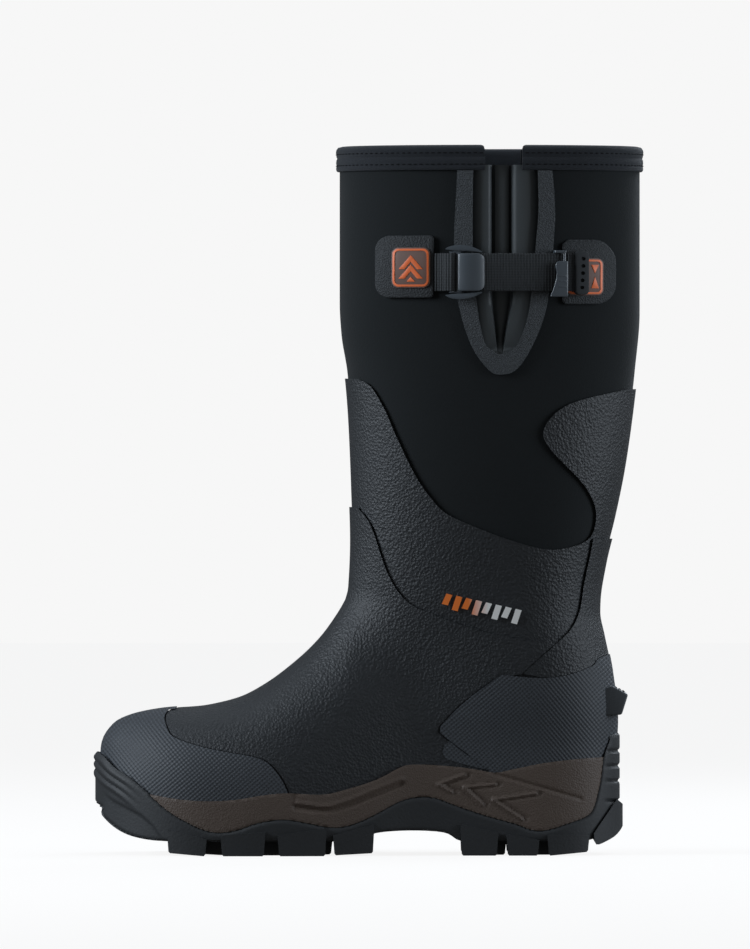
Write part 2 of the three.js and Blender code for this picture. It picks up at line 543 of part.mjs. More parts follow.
// Rear: webbing through a cam lock with a thumb lever, a tail with a grip, a patch and a badge
const LOCK_DROP = 0.6;
const mainWebbing = () => slab(64.2, 116.8, WEB_LOW, WEB_HIGH, -HALF, HALF);
const LOCK_HALF = HALF + GAP;
const TRUNNION_X = 115.2;
const TRUNNION_OUT = 6.7;
const TRUNNION = 0.7;
function lockFrame() {
  const cheek = side => {
    const [a, b] = [side * LOCK_HALF, side * (LOCK_HALF + 1.5)].sort((p, q) => p - q);
    return wrapped([[109.8, 2.6], [115.2, 2.6], [115.2, 4], [116.3, 4], [116.3, 7], [115.9, 7.6], [110.4, 7.6],
      [109.8, 7]], a, b);
  };
  const floor = slab(109.8, 115.2, 2.6, WEB_LOW - GAP, -LOCK_HALF - 1, LOCK_HALF + 1);
  return united([cheek(-1), cheek(1), floor])
    .subtract(wrapped(ring(TRUNNION_X, TRUNNION_OUT, TRUNNION + GAP), -2 * HALF, 2 * HALF));
}
function thumbLever() {
  const outline = [[116.4, 6.6], [116.4, -14.6], [106.6, -14.6], [108.6, -10], [110, -4.5], [110.2, 0],
    [109.6, 3.6], [110.2, 5.8], [111.6, 6.6]];
  const tab = slab(105, 116.4, 8.1, 9.5, -15, 7).intersect(cutter(outline, 8.8));
  const hub = slab(114.3, 116.1, 5.85, 8.6, -LOCK_HALF + GAP, 6.6);
  const axle = wrapped(ring(TRUNNION_X, TRUNNION_OUT, TRUNNION), -LOCK_HALF - 1.2, LOCK_HALF + 1.2);
  return united([tab, hub, axle]);
}
const TAIL_X = 117.5;
const tailWebbing = () => slab(TAIL_X, 128.2, WEB_LOW, WEB_HIGH, -HALF, HALF);
function tailGrip() {
  const grip = plate(122.4, 129.6, 3.9 - 0.1, 7.4, -13.4, 12.6, 2.4)
    .subtract(slab(118, 128.6, WEB_LOW - GAP + 0.1, WEB_HIGH + GAP, -HALF - GAP, HALF + GAP));
  const holes = [-2, -1, 0, 1, 2].map(i => cutter(ring(127.4, i * 4.3 - 0.5, 1, 8), 7)
    .intersect(slab(124, 131, 6.2, 9, -14, 14)));
  return grip.subtract(united(holes));
}
const rearPatch = () => plate(115.4, 147, GAP, PATCH_OUT, -19, 18.4, 3, 12);
const rearBadge = () => plate(117.4, 138.8, PATCH_OUT + GAP, PATCH_OUT + GAP + BADGE - 0.1, -13.6, 8.4, 3.4);

// Pleated bellows closing the gusset opening: two flaps and a recessed middle panel
function gussetBellows() {
  const fold = 0.7;
  const line = [[63.8, -3], [66, -1.2], [71.6, -0.9], [73.4, -2.6], [73.8, -8], [75, -8], [75.6, -3.4], [81.6, -3.4],
    [82.2, -8], [83.4, -8], [84.2, -2.4], [86, -1.2], [97, -0.9], [99.6, -3]];
  const outside = line.map(([x, h]) => [x, h + fold]);
  const inside = reversed(line).map(([x, h]) => [x, h + fold - BELLOWS]);
  const valleys = [[73.8, 75], [82.2, 83.4]];
  const foot = upLeg(gussetOpening(0)[4][1] - 18) - STRAP_HEIGHT;
  const sheet = wrapped([...outside, ...inside], foot, STRAP_DROP - 11.5);
  const grooves = valleys.map(([a, b]) => slab(a + 0.35, b - 0.35, -7.3, 2, foot - 1, STRAP_DROP));
  return sheet.subtract(united(grooves)).intersect(outerSide(gussetOpening(GAP)));
}

// ---- the assembly ---------------------------------------------------------------------------

const finish = (color, roughness, metalness = 0) => new THREE.MeshStandardMaterial({ color, roughness, metalness });
const rubber = () => finish(0x2c3136, 0.62);
const ribbed = () => finish(0x24282c, 0.7);
const grained = () => finish(0x3a3e42, 0.75);
const nylon = () => finish(0x1c1f22, 0.85);
const plastic = () => finish(0x2e343a, 0.3);

const boot = new THREE.Group();
function add(name, solid, material) {
  const { vertProperties, triVerts } = solid.getMesh();
  const geometry = new THREE.BufferGeometry();
  geometry.setAttribute('position', new THREE.Float32BufferAttribute(vertProperties, 3));
  geometry.setIndex(new THREE.Uint32BufferAttribute(triVerts, 1));
  geometry.computeVertexNormals();
  const mesh = new THREE.Mesh(geometry, material);
  mesh.name = name;
  boot.add(mesh);
}

add('outsole', outsole(), finish(0x2f3337, 0.75));
add('foxing', foxing(), finish(0x423c38, 0.7));
add('midsole_core', midsoleCore(), finish(0x8d8f92, 0.9));
add('shank', shank(), finish(0x9aa0a6, 0.35, 0.9));
add('insole_board', insoleBoard(), finish(0xa58d6a, 0.9));
add('footbed', footbed(), finish(0x4a4f55, 0.95));
add('vamp_shell', vampShell(), rubber());
add('vamp_overlay', vampOverlay(), rubber());
add('toe_cap', toeCap(), ribbed());
add('heel_counter', heelCounter(), ribbed());
add('rear_strip', rearStrip(), rubber());
add('kick_spur', kickSpur(), ribbed());
add('toe_puff', stiffener(puffZone), finish(0xd8d2c4, 0.6));
add('heel_stiffener', stiffener(cupZone), finish(0xd8d2c4, 0.6));
add('bootie_shaft', bootieShaft(), finish(0x1b1f21, 0.95));
add('fleece_lining', fleeceLining(), finish(0x3b3f45, 1));
add('gusset_tape', gussetTape(), grained());
add('gusset_bellows', gussetBellows(), finish(0x1f2326, 0.45));
add('collar_binding', collarBinding(), nylon());
add('front_patch', frontPatch(), grained());
add('front_badge', frontBadge(), finish(0xd9683a, 0.5));
add('short_webbing', shortWebbing(), nylon());
add('buckle_plug', bucklePlug(), plastic());
add('lever_upper', lever(1), plastic());
add('lever_lower', lever(-1), plastic());
add('buckle_socket', buckleSocket(), plastic());
add('main_webbing', mainWebbing(), nylon());
add('lock_frame', lockFrame(), plastic());
add('thumb_lever', thumbLever(), plastic());
add('tail_webbing', tailWebbing(), nylon());
add('tail_grip', tailGrip(), grained());
add('rear_patch', rearPatch(), grained());
add('rear_badge', rearBadge(), finish(0xd9683a, 0.5));

// Stand the boot on the floor, centred on its own box
const extent = new THREE.Box3().setFromObject(boot);
const middle = extent.getCenter(new THREE.Vector3());
boot.position.set(-middle.x, -middle.y, -extent.min.z);

export default boot;
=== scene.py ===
import math

import bpy
import numpy as np
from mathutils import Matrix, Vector


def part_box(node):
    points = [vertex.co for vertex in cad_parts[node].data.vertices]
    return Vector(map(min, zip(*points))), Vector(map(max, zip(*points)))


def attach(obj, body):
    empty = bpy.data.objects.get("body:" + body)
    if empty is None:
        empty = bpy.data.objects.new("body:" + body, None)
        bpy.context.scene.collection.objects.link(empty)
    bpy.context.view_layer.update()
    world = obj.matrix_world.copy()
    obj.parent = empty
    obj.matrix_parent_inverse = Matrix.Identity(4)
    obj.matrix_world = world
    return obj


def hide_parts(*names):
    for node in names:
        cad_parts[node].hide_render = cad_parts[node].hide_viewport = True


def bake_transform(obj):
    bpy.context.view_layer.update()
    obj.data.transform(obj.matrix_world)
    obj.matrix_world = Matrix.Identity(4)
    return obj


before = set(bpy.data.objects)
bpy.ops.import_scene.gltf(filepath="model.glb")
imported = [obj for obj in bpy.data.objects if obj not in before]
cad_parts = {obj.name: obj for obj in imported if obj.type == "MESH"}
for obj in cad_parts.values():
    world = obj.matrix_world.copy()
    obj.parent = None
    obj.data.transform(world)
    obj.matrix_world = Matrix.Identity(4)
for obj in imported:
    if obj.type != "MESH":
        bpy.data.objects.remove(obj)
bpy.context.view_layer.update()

# ---- Studio ------------------------------------------------------------------------------
# The boot stands on a pale sweep in a bright room, lit by broad soft lights.
# A long lens looks level at its outer side from eight metres.

MM = 0.001
scene = bpy.context.scene
scene.view_settings.view_transform = "Standard"

collar_low, collar_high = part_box("collar_binding")
LEG_X = (collar_low.x + collar_high.x) / 2
LEG_Y = (collar_low.y + collar_high.y) / 2
HEIGHT = collar_high.z

VIEW_HEIGHT = 0.5694
VIEW_DISTANCE = 8.0
FRONT_OF_LEG, BELOW_COLLAR = 0.0688, 0.1965
lens_data = bpy.data.cameras.new("camera")
lens_data.sensor_width = 36
lens_data.lens = lens_data.sensor_width * VIEW_DISTANCE / VIEW_HEIGHT
lens_data.clip_end = 50
camera = bpy.data.objects.new("camera", lens_data)
scene.collection.objects.link(camera)
camera.location = (LEG_X - FRONT_OF_LEG, LEG_Y - VIEW_DISTANCE, HEIGHT - BELOW_COLLAR)
camera.rotation_euler = (math.pi / 2, 0, 0)
scene.camera = camera


def light(name, kind, place, energy, aim=(LEG_X - 0.06, LEG_Y, 0.2), **settings):
    data = bpy.data.lights.new(name, kind)
    data.energy = energy
    for key, value in settings.items():
        setattr(data, key, value)
    lamp = bpy.data.objects.new(name, data)
    scene.collection.objects.link(lamp)
    lamp.location = place
    lamp.rotation_euler = (Vector(aim) - Vector(place)).to_track_quat("-Z", "Y").to_euler()


COOL = (0.85, 0.94, 1.04)
light("overhead", "SUN", (0.1, 0.5, 2), 0.7, aim=(0, 0, 0), angle=math.radians(60), color=COOL)
light("key", "AREA", (-1.65, -0.45, 0.85), 32, size=0.9, color=COOL)
light("fill", "AREA", (1.7, -0.35, 0.55), 17, size=0.9, color=COOL)
light("rim", "AREA", (1.0, 1.3, 1.2), 14, size=0.8, color=COOL)

world = bpy.data.worlds.new("room")
scene.world = world
world.use_nodes = True
sky = world.node_tree.nodes["Background"]
sky.inputs["Color"].default_value = (1, 1, 1, 1)
room = world.node_tree
seen = room.nodes.new("ShaderNodeLightPath")
level = room.nodes.new("ShaderNodeMapRange")
level.inputs["To Min"].default_value = 0.13
level.inputs["To Max"].default_value = 0.93
room.links.new(seen.outputs["Is Camera Ray"], level.inputs["Value"])
room.links.new(level.outputs["Result"], sky.inputs["Strength"])


def alone(piece):
    bpy.ops.object.select_all(action="DESELECT")
    piece.select_set(True)
    bpy.context.view_layer.objects.active = piece


def made(name):
    piece = bpy.context.active_object
    piece.name = name
    piece.data.name = name
    return piece


bpy.ops.object.select_all(action="DESELECT")
bpy.ops.mesh.primitive_plane_add(size=14, location=(0, 3, 0))
floor = made("floor")
bpy.ops.object.transform_apply(location=True)
floor.visible_diffuse = False
floor.visible_glossy = False


class Signal:
    """A socket that can be added, subtracted and multiplied in plain Python."""

    def __init__(self, finish, socket):
        self.finish = finish
        self.socket = socket

    def math(self, operation, *others):
        return self.finish.node("ShaderNodeMath", {"operation": operation}, self, *others)

    def __add__(self, other):
        return self.math("ADD", other)

    __radd__ = __add__

    def __mul__(self, other):
        return self.math("MULTIPLY", other)

    __rmul__ = __mul__

    def __sub__(self, other):
        return self.math("SUBTRACT", other)

    def __rsub__(self, other):
        return self.finish.node("ShaderNodeMath", {"operation": "SUBTRACT"}, other, self)


class Finish:
    """A material. Its look is written as expressions on the piece's own place."""

    def __init__(self, name, colour, roughness, specular=0.5):
        self.material = bpy.data.materials.new(name)
        self.material.use_nodes = True
        self.tree = self.material.node_tree
        self.shader = self.tree.nodes["Principled BSDF"]
        self.shader.inputs["Base Color"].default_value = (*colour, 1)
        self.shader.inputs["Roughness"].default_value = roughness
        self.shader.inputs["Specular IOR Level"].default_value = specular

    def node(self, kind, settings, *values, out=0, **named):
        made_node = self.tree.nodes.new(kind)
        for key, value in settings.items():
            setattr(made_node, key, value)
        for slot_name, value in [*enumerate(values), *named.items()]:
            key = slot_name.replace("_", " ") if isinstance(slot_name, str) else slot_name
            socket = made_node.inputs[key]
            if isinstance(value, Signal):
                self.tree.links.new(value.socket, socket)
            else:
                socket.default_value = value
        return Signal(self, made_node.outputs[out])

    def place(self, turn=(0, 0, 0)):
        here = self.node("ShaderNodeTexCoord", {}, out="Object")
        return self.node("ShaderNodeMapping", {}, here, (0, 0, 0), turn)

    def noise(self, scale, detail=2.0):
        return self.node("ShaderNodeTexNoise", {}, Vector=self.place(), Scale=scale, Detail=detail)

    def cells(self, scale):
        return self.node("ShaderNodeTexVoronoi", {}, Vector=self.place(), Scale=scale)

    def waves(self, scale, turn):
        """Stripes across x, or turned about the y axis by some degrees."""
        where = self.place((0, math.radians(turn), 0))
        return self.node("ShaderNodeTexWave", {}, Vector=where, Scale=scale)

    def blend(self, share, low, high):
        mixed = self.node("ShaderNodeMix", {"data_type": "RGBA"}, out=2)
        for index, value in ((0, share), (6, low), (7, high)):
            socket = mixed.socket.node.inputs[index]
            if isinstance(value, Signal):
                self.tree.links.new(value.socket, socket)
            else:
                socket.default_value = value if index == 0 else (*value, 1)
        return mixed

    def ramp(self, share, low, high):
        return self.node("ShaderNodeMapRange", {"clamp": True}, share, low, high, 0.0, 1.0)

    def set(self, **values):
        for key, value in values.items():
            self.tree.links.new(value.socket, self.shader.inputs[key.replace("_", " ")])

    def bump(self, height, depth, strength=1.0):
        normal = self.node("ShaderNodeBump", {}, Strength=strength, Distance=depth, Height=height,
                           out="Normal")
        self.set(Normal=normal)

    def on(self, piece, slot=None):
        piece.data.materials.clear()
        piece.data.materials.append(self.material)


sweep = Finish("pale_sweep", (0.12, 0.12, 0.12), 0.95, 0.0)
sweep.shader.inputs["Emission Color"].default_value = (1, 1, 1, 1)
sweep.shader.inputs["Emission Strength"].default_value = 0.873
sweep.on(floor)

# ---- The last ----------------------------------------------------------------------------
# Every layer of a boot is pulled over one wooden last: a foot form that runs up into a calf.
# Its outline is a set of smooth curves in millimetres, and each layer is the last grown a little.

NEOPRENE, FLEECE, GAP = 5.0, 1.8, 0.3
BALL, HEEL, ANKLE, CALF = 99.0, 67.0, 88.0, 114.0
SHELL_OUT = 1.9
OVERLAY_OUT = 3.4
SOLE_LEVEL, ANKLE_LEVEL, TOP_LEVEL = 24, 151, 424
FOOT_MIDDLE, LEG_MIDDLE = 98, 73
TOE_X = -157.0


def through(*knots):
    """A smooth curve through knots (t, value) that never swings past them."""
    t, v = np.array(knots, float).T
    step = np.diff(t)
    slope = np.diff(v) / step
    a, b = slope[:-1], slope[1:]
    inner = np.where(a * b > 0, 2 * a * b / np.where(a + b == 0, 1, a + b), 0)
    lean = np.concatenate([slope[:1], inner, slope[-1:]])

    def at(x):
        x = np.clip(x, t[0], t[-1])
        i = np.clip(np.searchsorted(t, x, side="right") - 1, 0, len(step) - 1)
        h = step[i]
        u = (x - t[i]) / h
        return ((2 * u ** 3 - 3 * u ** 2 + 1) * v[i] + (u ** 3 - 2 * u ** 2 + u) * h * lean[i]
                + (3 * u ** 2 - 2 * u ** 3) * v[i + 1] + (u ** 3 - u ** 2) * h * lean[i + 1])
    return at


def smooth(low, high, t):
    u = np.clip((np.asarray(t, float) - low) / (high - low), 0, 1)
    return u * u * (3 - 2 * u)


instep = through((-157, 55), (-156.3, 65), (-153.7, 71), (-147.7, 77), (-135, 81.4), (-119.7, 83.9),
                 (-100, 85.4), (-88, 87.6), (-75, 91.3), (-60, 99.2), (-40.9, 113.5), (-26.4, 127.6),
                 (-15.1, 143.2), (-10.6, 151))
shin = through((151, -10.6), (159, -8.6), (188, -7.4), (217, -8.2), (260, -10), (289, -12.4), (312, -16),
               (330, -17), (424, -17))
heel_back = through((24, 144), (60, 144.8), (80, 146), (109, 143), (130, 138.8), (145, 136), (152, 136.2),
                    (174, 139.6), (203, 146.6), (231, 152.3), (260, 156.6), (289, 160), (325, 163),
                    (424, 163))
leg_width = through((24, HEEL), (60, HEEL + 2), (100, 0.4 * HEEL + 0.6 * ANKLE), (150, ANKLE),
                    (200, 0.5 * ANKLE + 0.5 * CALF), (260, 0.15 * ANKLE + 0.85 * CALF), (320, CALF),
                    (424, CALF))
foot_width = through((-157, 0.9 * BALL), (-90, BALL), (-45, 0.95 * BALL), (0, 0.45 * BALL + 0.55 * HEEL),
                     (40, HEEL + 3), (100, HEEL))
toe_swing = through((-157, 9), (-110, 4), (-50, 0), (150, 0))

instep_x = np.linspace(TOE_X, -10.6, 4000)
instep_z = np.maximum.accumulate(instep(instep_x)) + np.arange(4000) * 1e-7


def front_line(z):
    return np.where(z >= ANKLE_LEVEL, shin(z), np.interp(z, instep_z, instep_x))


def rounded(t, power):
    return np.maximum(0, 1 - np.abs(t) ** power) ** (1 / power)


def half_width(x, z, front, rear):
    centre = FOOT_MIDDLE + (LEG_MIDDLE - FOOT_MIDDLE) * smooth(60, 300, z)
    reach = np.where(x > centre, rear - centre, centre - front)
    leg = 0.5 * leg_width(z) * rounded((x - centre) / reach, 2.15)
    rise = np.clip((z - 36) / (instep(x) - 36), 0, 1)
    toe = rounded(np.maximum(0, (-95 - x) / (-95 - TOE_X)), 2.3)
    foot = 0.5 * foot_width(x) * toe * rounded(rise, 2.4)
    share = 1 - (1 - smooth(0, 95, x)) * (1 - smooth(85, 158, z))
    return foot + (leg - foot) * share


def last_grid(columns, spacing):
    """Points and outward normals of the last, row by row up the leg, in millimetres."""
    trial = np.concatenate([np.linspace(SOLE_LEVEL, ANKLE_LEVEL, 3000),
                            np.linspace(ANKLE_LEVEL + 0.1, TOP_LEVEL, 1500)])
    run = np.hypot(np.diff(trial), np.diff(front_line(trial)))
    length = np.concatenate([[0], np.cumsum(run)])
    levels = np.interp(np.linspace(0, length[-1], int(length[-1] / spacing)), length, trial)
    angle = (np.arange(columns) + 0.5) * 2 * math.pi / columns
    z, angle = np.meshgrid(levels, angle, indexing="ij")
    front, rear = front_line(z), heel_back(z)
    x = (front + rear) / 2 - (rear - front) / 2 * np.cos(angle)
    width = half_width(x, z, front, rear) * -np.sign(np.sin(angle))
    for _ in range(6):
        width[1:-1] = 0.25 * width[:-2] + 0.5 * width[1:-1] + 0.25 * width[2:]
    y = width + toe_swing(x) * (1 - smooth(85, 158, z))
    points = np.stack([x, y, z], -1)
    along = np.roll(points, -1, 1) - np.roll(points, 1, 1)
    up = np.gradient(points, axis=0)
    out = np.cross(along, up)
    out[0, :, 2] = out[-1, :, 2] = 0
    out /= np.linalg.norm(out, axis=-1, keepdims=True)
    return points, out


FINE = last_grid(168, 2.6)
COARSE = last_grid(72, 6.5)


def in_place(points):
    """Millimetres about the drawn axes to metres in the boot's own frame."""
    points = np.asarray(points, float)
    return points * MM + np.array([LEG_X - LEG_MIDDLE * MM, LEG_Y, 0])


def outwards(piece):
    """Turn every face of a closed piece to look outwards."""
    alone(piece)
    bpy.ops.object.mode_set(mode="EDIT")
    bpy.ops.mesh.select_all(action="SELECT")
    bpy.ops.mesh.normals_make_consistent(inside=False)
    bpy.ops.object.mode_set(mode="OBJECT")
    return piece


def drawn(name, corners, faces):
    mesh = bpy.data.meshes.new(name)
    mesh.from_pydata([tuple(c) for c in corners], [], faces)
    piece = bpy.data.objects.new(name, mesh)
    scene.collection.objects.link(piece)
    alone(piece)
    return piece


def pushed(piece, shift):
    """Thicken a flat outline into a closed block."""
    bpy.ops.object.mode_set(mode="EDIT")
    bpy.ops.mesh.select_all(action="SELECT")
    bpy.ops.mesh.extrude_region_move(TRANSFORM_OT_translate={"value": (0, shift, 0)})
    bpy.ops.object.mode_set(mode="OBJECT")
    return outwards(piece)


def net(name, points):
    """A net of rows closed round, pulled from a flat grid, with its two ends filled."""
    rows, columns = points.shape[:2]
    bpy.ops.object.select_all(action="DESELECT")
    bpy.ops.mesh.primitive_grid_add(x_subdivisions=columns, y_subdivisions=rows - 1, size=1)
    piece = made(name)
    wrapped = np.concatenate([points, points[:, :1]], 1)
    piece.data.vertices.foreach_set("co", in_place(wrapped).ravel())
    bpy.ops.object.mode_set(mode="EDIT")
    bpy.ops.mesh.select_all(action="SELECT")
    bpy.ops.mesh.remove_doubles(threshold=1e-7)
    bpy.ops.mesh.select_all(action="SELECT")
    bpy.ops.mesh.fill_holes(sides=0)
    bpy.ops.object.mode_set(mode="OBJECT")
    return outwards(piece)


def lasted(name, grow, grid=FINE):
    points, out = grid
    grown = points + out * grow
    grown[0, :, 2] = SOLE_LEVEL - grow
    grown[-1, :, 2] = TOP_LEVEL
    return net(name, grown)


def cut(piece, tool, operation="DIFFERENCE"):
    alone(piece)
    change = piece.modifiers.new("cut", "BOOLEAN")
    change.operation = operation
    change.solver = "MANIFOLD"
    change.object = tool
    bpy.ops.object.modifier_apply(modifier=change.name)
    bpy.data.objects.remove(tool)
    return piece


def layer(name, inner, outer, inner_grid=COARSE):
    return cut(lasted(name, outer), lasted("core", inner, inner_grid))


def bowed(*points, steps=6):
    """A soft curve through given points."""
    p = [np.array(q, float) for q in points]
    p = [2 * p[0] - p[1], *p, 2 * p[-1] - p[-2]]
    line = []
    for a, b, c, d in zip(p, p[1:], p[2:], p[3:]):
        for k in range(steps):
            u = k / steps
            line.append(0.5 * (2 * b + (c - a) * u + (2 * a - 5 * b + 4 * c - d) * u ** 2
                               + (3 * b - a - 3 * c + d) * u ** 3))
    return [tuple(q) for q in [*line, p[-2]]]


def across(outline, y0=-150, y1=150):
    """A side outline in x and z, carried straight across the boot."""
    corners = in_place([(x, y0, z) for x, z in outline])
    return pushed(drawn("tool", corners, [tuple(range(len(corners)))]), (y1 - y0) * MM)


def outer_side(outline):
    return across(outline, y1=0)


def moved(line, dx, dz):
    return [(x + dx, z + dz) for x, z in line]


def soft(piece, angle=32):
    alone(piece)
    bpy.ops.object.shade_smooth_by_angle(angle=math.radians(angle))
    return piece


def finished(piece, finish, slot, *nodes, body="root", angle=32):
    soft(piece, angle)
    finish.on(piece, slot)
    if body:
        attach(piece, body)
    if nodes:
        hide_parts(*nodes)
    return piece


# ---- Bootie ------------------------------------------------------------------------------
# The warm leg of the boot: 5 mm neoprene with a matt knitted face, glued and sewn to a sock.
# It is slit on the outer side for the gusset, and brushed fleece lines it inside.

neoprene = Finish("neoprene", (0.0105, 0.0125, 0.0135), 0.95, 0.16)
knit = neoprene.noise(900, 1.0) * 0.6 + neoprene.noise(2600, 0.0) * 0.4
neoprene.set(Base_Color=neoprene.blend(neoprene.noise(9, 3.0), (0.0085, 0.0105, 0.0115),
                                       (0.0125, 0.0148, 0.016)))
neoprene.bump(knit, 0.0004, 0.5)
neoprene.shader.inputs["Sheen Weight"].default_value = 0.12
neoprene.shader.inputs["Sheen Roughness"].default_value = 0.5

gusset = [*bowed((63, 430), (62.4, 367), (64.6, 332), (67.4, 314), (70.7, 304), (78, 299)),
          *bowed((78.5, 299), (87.4, 303), (93, 314), (96.8, 331), (100.2, 367), (101.6, 388), (100.5, 430))]
COLLAR_TOP = 422.5
above = [(-250, COLLAR_TOP), (250, COLLAR_TOP), (250, 470), (-250, 470)]
bootie = layer("neoprene_leg", -NEOPRENE, 0)
cut(bootie, across(above))
cut(bootie, outer_side(gusset))
finished(bootie, neoprene, "neoprene", "bootie_shaft")

fleece = Finish("fleece", (0.02, 0.022, 0.025), 1.0, 0.1)
fleece.bump(fleece.noise(700, 3.0), 0.001, 0.9)
fleece.shader.inputs["Sheen Weight"].default_value = 0.25
lining = layer("fleece_sock", -NEOPRENE - GAP - FLEECE, -NEOPRENE - GAP, FINE)
cut(lining, across(above))
cut(lining, outer_side(gusset))
finished(lining, fleece, "fleece", "fleece_lining")

# ---- Rubber shell --------------------------------------------------------------------------
# Natural rubber sheet laid over the last by hand and cured: it wraps the foot and runs up the shin
# and the back of the leg. A second sheet over the instep and ankle has a cut edge that shows.

shell_edge = bowed((-60, 286.5), (-13, 285), (-4, 283.6), (2.4, 279), (10, 266), (16.2, 251.7), (26, 231),
                   (34, 218),
                   (45.6, 205), (62, 197), (82, 189.3), (101.4, 183.6), (112, 182.7), (124, 185), (132, 189),
                   (135.6, 196), (136.2, 206), (132.6, 215.7), (126, 224.7), (115.8, 235), (107.4, 244.5),
                   (104.4, 252),
                   (108, 260), (115.8, 267), (126, 271.5), (144, 276), (160, 278.7), (200, 280))
overlay_edge = bowed((-60, 208), (-11, 208), (-5, 206), (1.2, 197.7), (6, 184.5), (11.4, 169), (18, 157.5),
                     (27, 149), (44, 142), (65, 134.7), (83, 130.5), (101, 128.1), (113, 128.1))
strip_edge = bowed((134.5, 189), (132.6, 179), (129, 162), (126.6, 147), (121.8, 136), (114, 128),
                   (102.6, 118), (92.4, 108.6))
counter_top = [*bowed((200, 126), (144.6, 119.7), (134, 113), (119, 107.7), (104, 106), (80, 107.7)),
               *bowed((75.6, 105.3), (59, 92.7), (45.4, 79.5), (43, 74.7), (45.4, 71.3), (63, 58),
                      (72, 51.5))]
toe_cap_edge = bowed((-114.6, 110), (-114.6, 90), (-116, 87.2), (-119, 86.7), (-121.8, 83), (-120.6, 77),
                     (-116.4, 71), (-102, 65.7), (-84.6, 62), (-68, 59), (-60, 55.5), (-53, 47.7),
                     (-48, 38), (-47, 28))

upper_rubber = Finish("upper_rubber", (0.011, 0.0135, 0.0162), 0.5, 0.5)
pebble = upper_rubber.cells(620)
grain = upper_rubber.noise(1500, 2.0)
patches = upper_rubber.noise(14, 3.0)
upper_rubber.set(Base_Color=upper_rubber.blend(patches, (0.009, 0.0112, 0.0135), (0.013, 0.0158, 0.019)),
                 Roughness=0.44 + 0.12 * patches + 0.06 * grain)
upper_rubber.bump(pebble * 0.8 + grain * 0.5, 0.0006, 0.8)

shell = layer("rubber_shell", GAP, SHELL_OUT)
cut(shell, across([*shell_edge, (200, 0), (-200, 0), (-200, 286.5)]), "INTERSECT")
finished(shell, upper_rubber, "upper_rubber", "vamp_shell")

LOW = 27
overlay = layer("instep_sheet", SHELL_OUT + GAP, OVERLAY_OUT)
cut(overlay, across([*overlay_edge, *moved(strip_edge[30:], -0.6, 0), *moved(counter_top[31:], -1.0, 0),
                     (71.6, LOW), *moved(toe_cap_edge[::-1], 0.9, 0.2), (-114.3, 208)]), "INTERSECT")
finished(overlay, upper_rubber, "upper_rubber", "vamp_overlay")

rear_strip = layer("ankle_strip", SHELL_OUT + GAP, OVERLAY_OUT)
cut(rear_strip, across([*moved(strip_edge, 0.2, 0), *moved(counter_top[:25][::-1], 0, 0.35), (200, 189)]),
    "INTERSECT")
finished(rear_strip, upper_rubber, "upper_rubber", "rear_strip")

# ---- Toe cap and heel counter ----------------------------------------------------------------
# Moulded reinforcements cured on top of the shell, with fine ribs against scuffing.

ribbed = Finish("ribbed_rubber", (0.024, 0.028, 0.033), 0.6, 0.5)
rib_down = ribbed.waves(160, 40)
rib_across = ribbed.waves(160, -50)
# The base colour follows the ribs' bump pattern: painted shade in the rib grooves and painted highlight on
# the rib crests.
ribbed.set(Base_Color=ribbed.blend(rib_down * 0.6 + rib_across * 0.4, (0.019, 0.0225, 0.0265),
                                   (0.043, 0.05, 0.06)),
           Roughness=0.55 + 0.15 * ribbed.noise(30, 3.0))
ribbed.bump(rib_down * 0.6 + rib_across * 0.5 + ribbed.noise(900, 1.0) * 0.3, 0.0004, 0.7)

GUARD_OUT = OVERLAY_OUT + 0.7
toe_cap = layer("toe_guard", SHELL_OUT + GAP, GUARD_OUT)
cut(toe_cap, across([*toe_cap_edge, (-200, 28), (-200, 110)]), "INTERSECT")
finished(toe_cap, ribbed, "ribbed_rubber", "toe_cap")

counter = layer("heel_guard", SHELL_OUT + GAP, GUARD_OUT)
cut(counter, across([*counter_top, (74, LOW), (200, LOW)]), "INTERSECT")
finished(counter, ribbed, "ribbed_rubber", "heel_counter")

corner_tab = layer("heel_guard_tab", OVERLAY_OUT, OVERLAY_OUT + 0.45)
cut(corner_tab, across([*bowed((49, 68), (46, 66), (44.8, 62), (46.2, 58.4), (52, 56), (58, 54.2)),
                        (72, 51), (70, 54),
                        (58, 61)]), "INTERSECT")
finished(corner_tab, ribbed, "ribbed_rubber")

# ---- Kick ledge ----------------------------------------------------------------------------
# A solid rubber step on the heel, for pushing the boot off with the other foot. It is moulded
# with three fine ridges along its top and cured on to the heel guard.

LEDGE_WIDTH = 46
spur = across([(136, 97.5), (146.5, 100.9), (155.7, 96), (151.9, 83.8), (144.3, 83.2), (136, 84)],
              -LEDGE_WIDTH / 2, LEDGE_WIDTH / 2)
spur.name = "kick_ledge"


def bevelled(piece, sharpness, offset, segments):
    alone(piece)
    bpy.ops.object.mode_set(mode="EDIT")
    bpy.ops.mesh.select_all(action="DESELECT")
    bpy.ops.mesh.edges_select_sharp(sharpness=math.radians(sharpness))
    bpy.ops.mesh.bevel(offset=offset, segments=segments)
    bpy.ops.object.mode_set(mode="OBJECT")
    return piece


bevelled(spur, 30, 1.1 * MM, 3)
for x, z in ((148.6, 99.8), (150.9, 98.6), (153.2, 97.4)):
    ridge = across([(x - 0.6, z - 1), (x + 0.6, z - 1.3), (x + 0.5, z + 0.3), (x - 0.1, z + 0.6)],
                   -LEDGE_WIDTH / 2 + 3, LEDGE_WIDTH / 2 - 3)
    cut(spur, ridge, "UNION")
cut(spur, lasted("core", OVERLAY_OUT + GAP))
ledge_rubber = Finish("ledge_rubber", (0.055, 0.062, 0.069), 0.5, 0.45)
ledge_rubber.set(Roughness=0.42 + 0.2 * ledge_rubber.noise(60, 3.0))
ledge_rubber.bump(ledge_rubber.noise(600, 3.0), 0.00015, 0.4)
finished(spur, ledge_rubber, "ribbed_rubber", "kick_spur")

